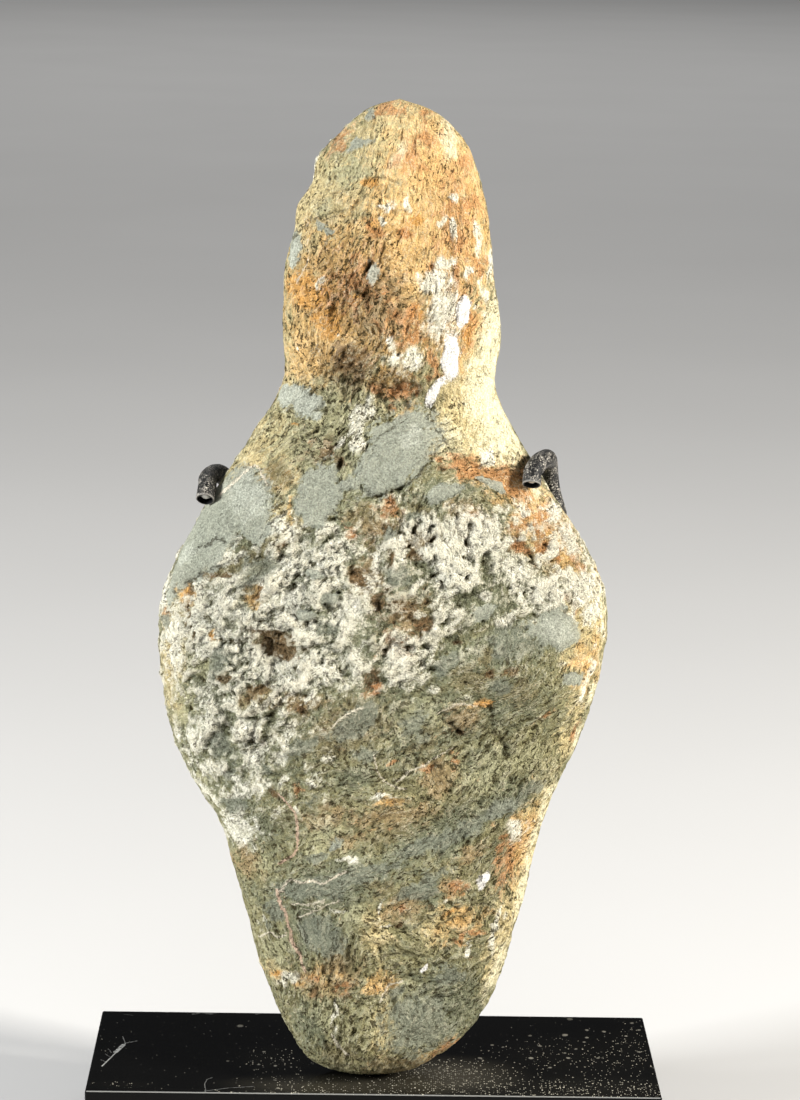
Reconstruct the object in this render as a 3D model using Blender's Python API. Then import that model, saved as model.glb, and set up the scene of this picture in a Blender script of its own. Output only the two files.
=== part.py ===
"""A carved stone figure held on its black display stand.

The stone stands on the base and leans back a little. Two sleeved hooks hold it by the
shoulders; they are the ends of one bent wire carried by a post behind the stone.
Metres, +Z up. The origin is the middle of the base's underside, and the stone faces -Y.
"""

from math import cos, pi, radians, sin

import bmesh
import bpy
import numpy as np

mm = 0.001

# The stand's base
base_width = 140 * mm
base_height = 19 * mm
base_edge_bevel = 0.5 * mm
base_in_front_of_foot = 13.5 * mm
base_behind_post = 5.5 * mm

# The stone
stone_height = 237 * mm
stone_width = 107.6 * mm
stone_front_reach = 21 * mm
stone_back_reach = 17 * mm
stone_lean = radians(3.5)

# The post, the wire and its sleeves
post_diameter = 6 * mm
post_socket_depth = 12 * mm
wire_diameter = 3.0 * mm
wire_straight_by_post = 3.6 * mm
sleeve_wall = 0.4 * mm
sleeve_length = 34 * mm
sleeve_past_wire = 0.9 * mm

# Clearances
touching_gap = 0.3 * mm
grip_clearance = 0.5 * mm
post_clearance = 0.8 * mm
strip_post_clears = 9 * mm  # half the width of the stone's back that counts for the post

# How finely the pieces are faceted
stone_rings = 54
stone_sides = 56
post_sides = 20
wire_sides = 10
sleeve_sides = 12
round_hole_sides = 24
wire_point_spacing = 2.6 * mm
sharp_edge = radians(40)
outline_samples = 500
samples_between_points = 20
small_step_along = 0.01
small_step_around = 0.06

# The stone's outline as seen from the front, from its foot to its crown. Each point is
# (sideways, up), as hundredths of the half width and hundredths of the height.
right_side = [
    (-3, 0), (12, 0.2), (30, 2.4), (44.5, 5.3), (53.5, 9), (64.5, 17.5), (73, 26.2),
    (77, 29.2), (89.5, 36.2), (97.5, 42.5), (100.8, 48.2), (96, 53), (86, 57.2),
    (70.5, 62.5), (56.5, 67.6), (48.2, 71.9), (50.2, 76.6), (46.4, 82.5), (41.2, 90.6),
    (33, 95.7), (18, 98.9), (4, 100),
]
left_side = [
    (-3, 0), (-15, 0.1), (-30, 1.7), (-41, 5.6), (-50, 10.3), (-59, 17.4), (-65, 22),
    (-71, 27), (-80, 30), (-92, 35.5), (-98, 42.5), (-99, 48), (-94, 52.6), (-84, 57.1),
    (-72, 61.8), (-57, 67.2), (-45.8, 71.6), (-45.5, 78.5), (-44.4, 84), (-40.5, 87.3),
    (-40, 89.2), (-33, 92), (-32, 93.7), (-20, 97), (-8, 99.2), (4, 100),
]

# How far the front and the back stand from the middle plane at each height. Each point is
# (up, reach), as hundredths of the height and hundredths of the full reach.
front_profile = [
    (0, 64), (8, 68), (20, 80), (32, 91), (44, 100), (54, 96), (62, 83), (68, 70),
    (71, 67), (75, 78), (80, 82), (88, 74), (94, 62), (100, 50),
]
back_profile = [
    (0, 66), (8, 72), (20, 84), (32, 95), (44, 100), (54, 96), (62, 86), (70, 76),
    (78, 79), (88, 72), (94, 62), (100, 50),
]
foot_rounding = 5.5  # hundredths of the height over which the foot curves in
crown_rounding = 7.0  # and the crown
section_power = 0.9  # 1 makes the level sections ellipses, and less makes them fuller

# Carving and wear, in millimetres on a stone of the reference height. Each mark is
# (sideways, up, half width, half height, turned by degrees, height of the relief).
reference_height = 237
front_relief = [
    (-3.0, 22, 3.2, 26, 0, 1.0),
    (-9.5, 24, 3.0, 28, 2, -0.8),
    (4.5, 22, 3.2, 26, -2, -0.7),
    (0.5, 205, 7.0, 22, -6, 0.8),
    (3.0, 176, 7.0, 6.0, 0, 1.3),
    (1.0, 165.5, 12.0, 3.4, 0, -1.6),
    (24.0, 151.5, 11.0, 2.2, -14, -1.1),
    (4.0, 152, 11.0, 12.0, 35, 0.7),
    (-39.0, 130, 9.0, 12.0, -35, 0.5),
    (-26.0, 107, 5.2, 4.0, -20, -2.2),
    (-21.5, 91, 11.0, 2.0, 32, -1.3),
    (2.0, 104, 7.0, 6.0, 0, 0.9),
    (13.0, 112, 15.0, 2.4, 12, -1.0),
    (19.0, 86, 2.4, 7.0, 30, -0.9),
    (-12.0, 222, 10.0, 9.0, 40, -0.9),
    (-17.0, 206, 9.0, 2.4, 28, 0.7),
    (10.0, 66, 22.0, 2.6, 24, -0.6),
    (-12.0, 50, 16.0, 3.0, 14, 0.5),
]
back_relief = [
    (-14, 150, 14, 9, 20, -0.9),
    (18, 118, 14, 14, -15, 0.6),
    (-22, 88, 12, 5, 25, -1.2),
    (10, 62, 9, 14, 10, -0.8),
    (-6, 196, 9, 16, -8, 0.6),
    (8, 30, 10, 8, 0, -0.6),
]

# Gentle lumps all over the stone, in millimetres on a stone of the reference height
lump_height = 0.42
longest_lump = 34
shortest_lump = 11
lump_waves = 18
lump_seed = 11
lumps_at_outline = 0.25  # the share of them that reaches the two edges

# The wire's route on each side of the stone, from the post outwards. Each point is
# (degrees round the stone, hundredths of its height, millimetres of stand-off):
# 0 is the stone's right edge, 90 its front, 180 its left edge and 270 its back.
right_route = [
    (292, 47.2, 0.8), (309, 48.6, 0.7), (321, 51.6, 0.5), (328, 55.4, 0.5), (333, 58.7, 0.5),
    (338, 60.9, 0.2), (346, 62.8, 0.3), (358, 64.1, 0.7), (370, 64.5, 0.9), (380, 64.4, 0.7),
    (387, 63.7, 0.4), (392, 62.7, 0.1),
]
left_route = [
    (250, 47.2, 0.8), (234, 48.8, 0.7), (224, 51.8, 0.5), (218, 55.4, 0.3), (214, 58.4, 0.4),
    (208, 60.3, 0.6), (200, 61.0, 0.6), (190, 61.1, 0.4), (180, 60.9, 0.2), (172, 60.6, 0.1),
    (167, 60.1, 0.1), (164, 59.6, 0.1),
]
yoke_level = 46.6  # hundredths of the stone's height at which the wire crosses the post


def clear_scene():
    for obj in list(bpy.data.objects):
        bpy.data.objects.remove(obj, do_unlink=True)


def make_material(name, color, roughness, metallic=0.0):
    material = bpy.data.materials.new(name)
    material.use_nodes = True
    shader = material.node_tree.nodes["Principled BSDF"]
    shader.inputs["Base Color"].default_value = (*color, 1.0)
    shader.inputs["Roughness"].default_value = roughness
    shader.inputs["Metallic"].default_value = metallic
    return material


def add_object(name, data, material=None):
    obj = bpy.data.objects.new(name, data)
    bpy.context.scene.collection.objects.link(obj)
    if material:
        data.materials.append(material)
    return obj


def add_bmesh(name, mesh_builder, material=None):
    mesh = bpy.data.meshes.new(name)
    mesh_builder.to_mesh(mesh)
    mesh_builder.free()
    return add_object(name, mesh, material)


def travelled(points):
    """The distance along the points from the first to each."""
    steps = np.linalg.norm(np.diff(points, axis=0), axis=1)
    return np.concatenate([[0.0], np.cumsum(steps)])


def flowing_line(points, count):
    """Evenly spaced points on a smooth curve through the points given."""
    points = np.array(points, float)
    reach = travelled(points)
    slopes = np.gradient(points, reach, axis=0)
    fine = np.linspace(0.0, reach[-1], samples_between_points * len(points))
    start = np.clip(np.searchsorted(reach, fine, side="right") - 1, 0, len(points) - 2)
    span = (reach[start + 1] - reach[start])[:, None]
    t = (fine - reach[start])[:, None] / span
    curve = (2 * t**3 - 3 * t**2 + 1) * points[start]
    curve += (t**3 - 2 * t**2 + t) * span * slopes[start]
    curve += (3 * t**2 - 2 * t**3) * points[start + 1]
    curve += (t**3 - t**2) * span * slopes[start + 1]
    distance = travelled(curve)
    wanted = np.linspace(0.0, distance[-1], count)
    return np.column_stack([np.interp(wanted, distance, axis) for axis in curve.T])


def end_rounding(level):
    """Falls from 1 to 0 at the foot and at the crown, as a quarter circle does."""
    foot = np.clip(1 - level / foot_rounding, 0, 1)
    crown = np.clip(1 - (100 - level) / crown_rounding, 0, 1)
    return np.sqrt(1 - foot**2) * np.sqrt(1 - crown**2)


def relief_at(marks, x, z):
    """The marks' relief in millimetres at places given in millimetres."""
    total = np.zeros_like(x)
    for mark_x, mark_z, half_width, half_height, turn, height in marks:
        c, s = cos(radians(turn)), sin(radians(turn))
        across = (c * (x - mark_x) + s * (z - mark_z)) / half_width
        up = (c * (z - mark_z) - s * (x - mark_x)) / half_height
        total += height * np.exp(-(across**2) - up**2)
    return total


def lumps_at(points):
    """Gentle lumps in millimetres: a fixed set of sine waves in all directions, summed."""
    random = np.random.default_rng(lump_seed)
    total = np.zeros(points.shape[:-1])
    for _ in range(lump_waves):
        direction = random.normal(size=3)
        direction /= np.linalg.norm(direction)
        length = random.uniform(shortest_lump, longest_lump)
        phase = random.uniform(0, 2 * pi)
        total += length * np.sin(points @ direction * 2 * pi / length + phase)
    return total * lump_height / (longest_lump * np.sqrt(lump_waves / 2))


class Stone:
    """The stone's surface, standing on the base and leaning back.

    Places on it are given by two numbers: along runs from 0 at the foot to 1 at the
    crown, and around is an angle, 0 at the right edge and a quarter turn at the front.
    """

    def __init__(self):
        scale = np.array([stone_width / 2, stone_height]) / 100
        self.right = flowing_line(np.array(right_side) * scale, outline_samples)
        self.left = flowing_line(np.array(left_side) * scale, outline_samples)
        self.share = np.linspace(0, 1, outline_samples)
        self.front = flowing_line(front_profile, outline_samples)
        self.back = flowing_line(back_profile, outline_samples)
        self.lift = 0.0
        self.lift = base_height + touching_gap - self.surface(*self.grid())[..., 2].min()

    def grid(self):
        along = np.linspace(0, 1, stone_rings + 2)[1:-1]
        around = np.linspace(0, 2 * pi, stone_sides, endpoint=False)
        return np.meshgrid(along, around, indexing="ij")

    def form(self, along, around):
        """The plain form upright in its own frame, without relief."""
        right_x, right_z = (np.interp(along, self.share, axis) for axis in self.right.T)
        left_x, left_z = (np.interp(along, self.share, axis) for axis in self.left.T)
        sideways = np.sign(np.cos(around)) * np.abs(np.cos(around)) ** section_power
        forwards = np.sign(np.sin(around)) * np.abs(np.sin(around)) ** section_power
        level = 100 * (left_z + right_z) / 2 / stone_height
        front = stone_front_reach * np.interp(level, *self.front.T) / 100
        back = stone_back_reach * np.interp(level, *self.back.T) / 100
        reach = np.where(forwards > 0, front, back) * end_rounding(level)
        x = (left_x + right_x) / 2 + (right_x - left_x) / 2 * sideways
        z = (left_z + right_z) / 2 + (right_z - left_z) / 2 * sideways
        return np.stack([x, -reach * forwards, z], axis=-1)

    def carved(self, along, around):
        """The form with its relief and lumps."""
        form = self.form(along, around)
        size = reference_height / stone_height
        places = form * size
        facing_front = np.clip(np.sin(around) * 3, 0, 1)
        facing_back = np.clip(-np.sin(around) * 3, 0, 1)
        relief = relief_at(front_relief, places[..., 0], places[..., 2]) * facing_front
        relief += relief_at(back_relief, places[..., 0], places[..., 2]) * facing_back
        face_on = np.abs(np.sin(around))
        relief += lumps_at(places) * (lumps_at_outline + (1 - lumps_at_outline) * face_on)
        level = np.clip(100 * form[..., 2] / stone_height, 0, 100)
        out = np.stack([0.5 * np.cos(around), -np.sin(around), np.zeros_like(around)], axis=-1)
        out /= np.linalg.norm(out, axis=-1, keepdims=True)
        return form + out * (relief * end_rounding(level) / size)[..., None]

    def surface(self, along, around):
        """The carved stone, leaned back and stood on the base."""
        x, y, z = np.moveaxis(self.carved(along, around), -1, 0)
        behind = y * cos(stone_lean) + z * sin(stone_lean)
        up = z * cos(stone_lean) - y * sin(stone_lean) + self.lift
        return np.stack([x, behind, up], axis=-1)

    def along_at(self, level):
        """How far along the stone a height in hundredths lies."""
        middle = (self.right[:, 1] + self.left[:, 1]) / 2
        return np.interp(level / 100 * stone_height, middle, self.share)

    def beside(self, degrees, level, distance):
        """The point that lies a distance out from the surface."""
        along = self.along_at(level) + small_step_along * np.array([[0, 0, 0], [-1, 0, 1]])
        around = radians(degrees) + small_step_around * np.array([[-1, 0, 1], [0, 0, 0]])
        (before, here, after), (below, _, above) = self.surface(along, around)
        outward = np.cross(before - after, above - below)
        return here + outward * distance / np.linalg.norm(outward)


def sleeve_radius():
    return wire_diameter / 2 + touching_gap + sleeve_wall


def place_post(stone):
    """How far behind the foot the post stands, clear of the stone all the way up."""
    surface = stone.surface(*stone.grid())
    beside_post = np.abs(surface[..., 0]) < strip_post_clears
    below_yoke = surface[..., 2] < stone.lift + stone_height * yoke_level / 100
    furthest_back = surface[beside_post & below_yoke][:, 1].max()
    return furthest_back + post_clearance + post_diameter / 2


def place_wire(stone, post_y):
    """The wire's middle line, from the tip of its left hook to the tip of its right one."""
    clear = sleeve_radius() + grip_clearance
    left = [stone.beside(turn, level, clear + off * mm) for turn, level, off in left_route]
    right = [stone.beside(turn, level, clear + off * mm) for turn, level, off in right_route]
    yoke_height = stone.lift + stone_height * yoke_level / 100
    post_edge = post_diameter / 2 + touching_gap
    straight_end = post_edge + wire_straight_by_post
    straight = (-straight_end, -post_edge, post_edge, straight_end)
    yoke = [(x, post_y, yoke_height) for x in straight]
    stations = np.array([*left[::-1], *yoke, *right])
    count = round(travelled(stations)[-1] / wire_point_spacing)
    return flowing_line(stations, count), yoke_height


def add_tube(name, points, radius, sides, material, closed_ends=True):
    curve = bpy.data.curves.new(name, "CURVE")
    curve.dimensions = "3D"
    curve.bevel_depth = radius
    curve.bevel_resolution = (sides - 4) // 2
    curve.render_resolution_u = 0
    curve.use_fill_caps = closed_ends
    spline = curve.splines.new("POLY")
    spline.points.add(len(points) - 1)
    for target, point in zip(spline.points, points):
        target.co = (*point, 1.0)
    return add_object(name, curve, material)


def add_rod(name, radius, length, sides, material=None):
    """An upright round rod centred on its own origin."""
    rod = bmesh.new()
    bmesh.ops.create_cone(
        rod, cap_ends=True, segments=sides, radius1=radius, radius2=radius, depth=length
    )
    return add_bmesh(name, rod, material)


def cut_away(obj, cutter):
    cutter.hide_render = True
    cutter.display_type = "WIRE"
    cut = obj.modifiers.new(cutter.name, "BOOLEAN")
    cut.operation = "DIFFERENCE"
    cut.object = cutter


def build_stone(stone, material, shift):
    skin = bmesh.new()
    rings = [
        [skin.verts.new(point) for point in ring] for ring in stone.surface(*stone.grid()) + shift
    ]
    for lower, upper in zip(rings, rings[1:]):
        for i in range(stone_sides):
            j = (i + 1) % stone_sides
            skin.faces.new((lower[i], lower[j], upper[j], upper[i]))
    foot, crown = stone.surface(np.array([0.0, 1.0]), np.zeros(2)) + shift
    for ring, end in ((rings[0], foot), (rings[-1], crown)):
        pole = skin.verts.new(end)
        for i in range(stone_sides):
            skin.faces.new((pole, ring[i], ring[(i + 1) % stone_sides]))
    bmesh.ops.recalc_face_normals(skin, faces=skin.faces)
    figure = add_bmesh("stone_figure", skin, material)
    figure.data.shade_smooth()


def build_base(material, depth, post_y):
    slab = bmesh.new()
    bmesh.ops.create_cube(slab, size=1.0)
    bmesh.ops.scale(slab, vec=(base_width, depth, base_height), verts=slab.verts)
    bmesh.ops.translate(slab, vec=(0, 0, base_height / 2), verts=slab.verts)
    base = add_bmesh("stand_base", slab, material)
    eased = base.modifiers.new("eased_edges", "BEVEL")
    eased.width = base_edge_bevel
    eased.segments = 2
    hole_radius = post_diameter / 2 + touching_gap
    socket = add_rod("post_socket", hole_radius, 2 * post_socket_depth, round_hole_sides)
    socket.location = (0, post_y, base_height)
    cut_away(base, socket)


def build_post(material, post_y, yoke_height):
    """A round bar from its socket up to the wire, which lies in a saddle across its top."""
    bottom = base_height - post_socket_depth + touching_gap
    post = add_rod("stand_post", post_diameter / 2, yoke_height - bottom, post_sides, material)
    post.data.shade_smooth()
    post.data.set_sharp_from_angle(angle=sharp_edge)
    post.location = (0, post_y, (yoke_height + bottom) / 2)
    saddle_radius = wire_diameter / 2 + touching_gap
    saddle = add_rod("wire_saddle", saddle_radius, 2 * post_diameter, round_hole_sides)
    saddle.rotation_euler = (0, pi / 2, 0)
    saddle.location = (0, post_y, yoke_height)
    cut_away(post, saddle)


def build_sleeve(name, line, material):
    """A thin tube over one end of the wire. The line starts at the wire's tip."""
    outwards = line[0] - line[1]
    mouth = line[0] + outwards / np.linalg.norm(outwards) * sleeve_past_wire
    covered = line[travelled(line) < sleeve_length]
    points = [mouth, *covered]
    sleeve = add_tube(name, points, sleeve_radius(), sleeve_sides, material, closed_ends=False)
    wall = sleeve.modifiers.new("wall", "SOLIDIFY")
    wall.thickness = sleeve_wall
    wall.offset = -1


def build_model():
    clear_scene()
    weathered_stone = make_material("weathered_stone", (0.50, 0.47, 0.36), 0.88)
    acrylic = make_material("black_acrylic", (0.012, 0.012, 0.012), 0.2)
    black_steel = make_material("black_painted_steel", (0.02, 0.02, 0.02), 0.45, 0.6)
    tubing = make_material("grey_black_tubing", (0.05, 0.045, 0.042), 0.5)

    stone = Stone()
    post_y = place_post(stone)
    line, yoke_height = place_wire(stone, post_y)
    base_depth = base_in_front_of_foot + post_y + post_diameter / 2 + base_behind_post
    foot_y = base_in_front_of_foot - base_depth / 2
    shift = np.array([0, foot_y, 0])

    build_stone(stone, weathered_stone, shift)
    build_base(acrylic, base_depth, foot_y + post_y)
    build_post(black_steel, foot_y + post_y, yoke_height)
    line = line + shift
    add_tube("cradle_wire", line, wire_diameter / 2, wire_sides, black_steel)
    build_sleeve("sleeve_left", line, tubing)
    build_sleeve("sleeve_right", line[::-1], tubing)
    print(f"base {base_depth / mm:.1f} mm deep, foot at y {foot_y / mm:.1f} mm")


build_model()
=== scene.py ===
from math import ceil, cos, pi, radians, sin

import bpy
import numpy as np
from mathutils import Matrix, Vector


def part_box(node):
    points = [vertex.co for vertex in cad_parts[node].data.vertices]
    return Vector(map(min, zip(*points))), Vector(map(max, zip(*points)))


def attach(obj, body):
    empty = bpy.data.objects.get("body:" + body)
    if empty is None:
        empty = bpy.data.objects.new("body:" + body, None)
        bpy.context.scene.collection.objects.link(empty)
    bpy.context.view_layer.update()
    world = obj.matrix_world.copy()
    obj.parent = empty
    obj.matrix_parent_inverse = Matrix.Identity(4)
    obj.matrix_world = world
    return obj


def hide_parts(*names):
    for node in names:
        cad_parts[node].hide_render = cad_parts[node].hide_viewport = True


# The looks of the weathered stone figure, its base, its post, and the bent wire with its two sleeves
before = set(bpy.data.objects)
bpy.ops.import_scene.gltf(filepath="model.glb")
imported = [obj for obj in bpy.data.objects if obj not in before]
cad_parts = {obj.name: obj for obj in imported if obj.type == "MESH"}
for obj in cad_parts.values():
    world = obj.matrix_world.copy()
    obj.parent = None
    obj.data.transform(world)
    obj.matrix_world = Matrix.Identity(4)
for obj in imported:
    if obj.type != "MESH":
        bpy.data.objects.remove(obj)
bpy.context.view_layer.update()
print("frame loaded:", sorted(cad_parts))

mm = 0.001  # one millimetre in metres


# Curves, noise and meshes

def travelled(points):
    # The distance along the points from the first to each
    steps = np.linalg.norm(np.diff(points, axis=0), axis=1)
    return np.concatenate([[0.0], np.cumsum(steps)])


def flowingLine(points, count):
    # Between two points, the cubic that keeps the slopes of their neighbours, evenly resampled
    points = np.array(points, float)
    reach = travelled(points)
    slopes = np.gradient(points, reach, axis=0)
    fine = np.linspace(0, reach[-1], 20 * len(points))
    start = np.clip(np.searchsorted(reach, fine, side="right") - 1, 0, len(points) - 2)
    span = (reach[start + 1] - reach[start])[:, None]
    t = (fine - reach[start])[:, None] / span
    curve = (2 * t**3 - 3 * t**2 + 1) * points[start] + (t**3 - 2 * t**2 + t) * span * slopes[start]
    curve += (3 * t**2 - 2 * t**3) * points[start + 1] + (t**3 - t**2) * span * slopes[start + 1]
    distance = travelled(curve)
    wanted = np.linspace(0, distance[-1], count)
    return np.column_stack([np.interp(wanted, distance, axis) for axis in curve.T])


def scramble(cell, seed):
    # A fixed number from 0 to 1 for each lattice cell, by multiplying and folding its places
    value = cell[..., 0] * 73856093 ^ cell[..., 1] * 19349663 ^ cell[..., 2] * 83492791
    value = (value ^ (seed * 2654435761)) & 0xFFFFFFFF
    for _ in range(2):
        value = ((value ^ (value >> 16)) * 0x45D9F3B) & 0xFFFFFFFF
    return ((value ^ (value >> 16)) & 0xFFFFFF) / 0xFFFFFF


def swell(points, size, seed, octaves=1, rough=0.5):
    # Random slopes at the corners of a lattice, eased from corner to corner, about -1 to 1,
    # then the same again at half the size and a share of the height for each octave
    total, height, weight = np.zeros(points.shape[:-1]), 1.0, 0.0
    for octave in range(octaves):
        places = points / size + 17.3 * octave
        cell = np.floor(places).astype(np.int64)
        inside = places - cell
        ease = inside**3 * (inside * (inside * 6 - 15) + 10)
        layer = np.zeros_like(total)
        for corner in np.ndindex(2, 2, 2):
            corner = np.array(corner)
            key = seed + 31 * octave
            slope = np.stack([scramble(cell + corner, key + 7 * k) for k in range(3)], -1) * 2 - 1
            share = np.prod(np.where(corner, ease, 1 - ease), axis=-1)
            layer += share * np.sum(slope * (inside - corner), axis=-1)
        total += layer * height * 1.6
        weight += height
        height *= rough
        size /= 2
    return total / weight


def addMesh(name, points, faces, smooth=True):
    # A mesh from points and faces, linked to the scene at the origin
    mesh = bpy.data.meshes.new(name)
    mesh.from_pydata(points, [], faces)
    mesh.update()
    if smooth:
        mesh.shade_smooth()
    piece = bpy.data.objects.new(name, mesh)
    bpy.context.scene.collection.objects.link(piece)
    return piece


def storeValues(piece, name, values, kind="FLOAT"):
    # One value or vector for each point, for the material to read
    layer = piece.data.attributes.new(name, kind, "POINT")
    field = "vector" if kind == "FLOAT_VECTOR" else "value"
    layer.data.foreach_set(field, values.astype(np.float32).ravel())


def gridFaces(rows, columns):
    # The quads between neighbouring rows of points, round and back to the start
    i, j = np.meshgrid(np.arange(rows - 1), np.arange(columns), indexing="ij")
    k = (j + 1) % columns
    quads = np.stack([i * columns + j, i * columns + k, (i + 1) * columns + k, (i + 1) * columns + j], -1)
    return quads.reshape(-1, 4)


def closedFaces(rows, columns, turned=False):
    # The quads of a grid of closed rings, and triangles from each end ring to a point of its own,
    # which come after the grid's points; turned where the rings run the other way round
    ring = np.arange(columns)
    nextOne = (ring + 1) % columns
    first = np.stack([np.full(columns, rows * columns), nextOne, ring], -1)
    last = np.stack([np.full(columns, rows * columns + 1), ring, nextOne], -1)
    last[:, 1:] += (rows - 1) * columns
    step = -1 if turned else 1
    return [face for part in (gridFaces(rows, columns), first, last) for face in part[:, ::step].tolist()]


def smoothStep(value, low, high):
    # 0 up to low and 1 from high on, with a cubic between them
    t = np.clip((value - low) / (high - low), 0, 1)
    return t * t * (3 - 2 * t)


# Shader maths

class Wire:
    # One output of a shader node. A sum written with wires adds the Math nodes that work it out

    def __init__(self, tree, socket):
        self.tree, self.socket = tree, socket

    def add(self, kind, inputs=None, output=0, **settings):
        # A node of this kind: its settings first, then the values or links of its sockets
        node = self.tree.nodes.new("ShaderNode" + kind)
        for name, value in settings.items():
            setattr(node, name, value)
        for name, value in (inputs or {}).items():
            if isinstance(value, Wire):
                self.tree.links.new(value.socket, node.inputs[name])
            else:
                node.inputs[name].default_value = value
        return Wire(self.tree, node.outputs[output])

    def also(self, output):
        # Another output of the same node
        return Wire(self.tree, self.socket.node.outputs[output])

    def math(self, operation, *values):
        # One Math node on these values
        return self.add("Math", dict(enumerate(values)), operation=operation)

    def __add__(self, other):
        return self.math("ADD", self, other)

    def __sub__(self, other):
        return self.math("SUBTRACT", self, other)

    def __rsub__(self, other):
        return self.math("SUBTRACT", other, self)

    def __mul__(self, other):
        return self.math("MULTIPLY", self, other)

    __radd__, __rmul__ = __add__, __mul__

    def __abs__(self):
        return self.math("ABSOLUTE", self)

    def most(self, other):
        # The greater of the two
        return self.math("MAXIMUM", self, other)

    def step(self, low, high):
        # 0 up to low and 1 from high on, eased between them; low may be the larger
        turned = low > high
        limits = {"From Min": min(low, high), "From Max": max(low, high)}
        ends = {"To Min": float(turned), "To Max": float(not turned)}
        return self.add("MapRange", {"Value": self, **limits, **ends}, interpolation_type="SMOOTHSTEP")

    def mix(self, first, second, blend="MIX"):
        # This wire is the share of the second colour
        return self.add("Mix", {0: self, 6: first, 7: second}, 2, data_type="RGBA", blend_type=blend)

    def stretched(self, x, y, z, shift=0.0):
        # A place with its three numbers scaled, and moved along to draw from elsewhere
        return self.add("VectorMath", {0: self, 1: (x, y, z), 2: (shift,) * 3}, operation="MULTIPLY_ADD")

    def shifted(self, by):
        # A place moved along to draw from elsewhere
        return self.add("VectorMath", {0: self, 1: (by,) * 3}, operation="ADD")

    def timesColor(self, surface):
        # A colour multiplied by this wire
        gray = self.add("CombineColor", {0: self, 1: self, 2: self})
        return self.add("Mix", {0: 1.0, 6: surface, 7: gray}, 2, data_type="RGBA", blend_type="MULTIPLY")

    def noise(self, scale, detail, rough):
        # Noise about 0, mostly within half a unit
        inputs = {"Vector": self, "Scale": scale, "Detail": detail, "Roughness": rough}
        return self.add("TexNoise", inputs) - 0.5

    def cells(self, scale):
        # The distance to the middle of the nearest of many scattered cells
        return self.add("TexVoronoi", {"Vector": self, "Scale": scale}, "Distance")


def color(red, green, blue):
    # A colour given by its display values from 0 to 255
    parts = [channel / 255 for channel in (red, green, blue)]
    return (*[p / 12.92 if p <= 0.04045 else ((p + 0.055) / 1.055) ** 2.4 for p in parts], 1.0)


def startMaterial(name, **constants):
    # A material with its shader's fixed values set, and a wire to draw its places in millimetres
    material = bpy.data.materials.new(name)
    material.use_nodes = True
    tree = material.node_tree
    shader = tree.nodes["Principled BSDF"]
    for socket, value in constants.items():
        shader.inputs[socket.replace("_", " ")].default_value = value
    spot = Wire(tree, None).add("TexCoord", output="Object")
    place = spot.add("VectorMath", {0: spot, "Scale": 1 / mm}, operation="SCALE")
    return material, shader, place


def plug(shader, **links):
    # Each wire to the shader's socket of that name
    for socket, source in links.items():
        source.tree.links.new(source.socket, shader.inputs[socket.replace("_", " ")])


def attributeOf(place, name, output="Fac"):
    # The values that a mesh carries under a name
    return place.add("Attribute", output=output, attribute_name=name)


def bumped(place, height):
    # A height in millimetres as a normal
    return place.add("Bump", {"Height": height, "Distance": mm})


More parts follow.
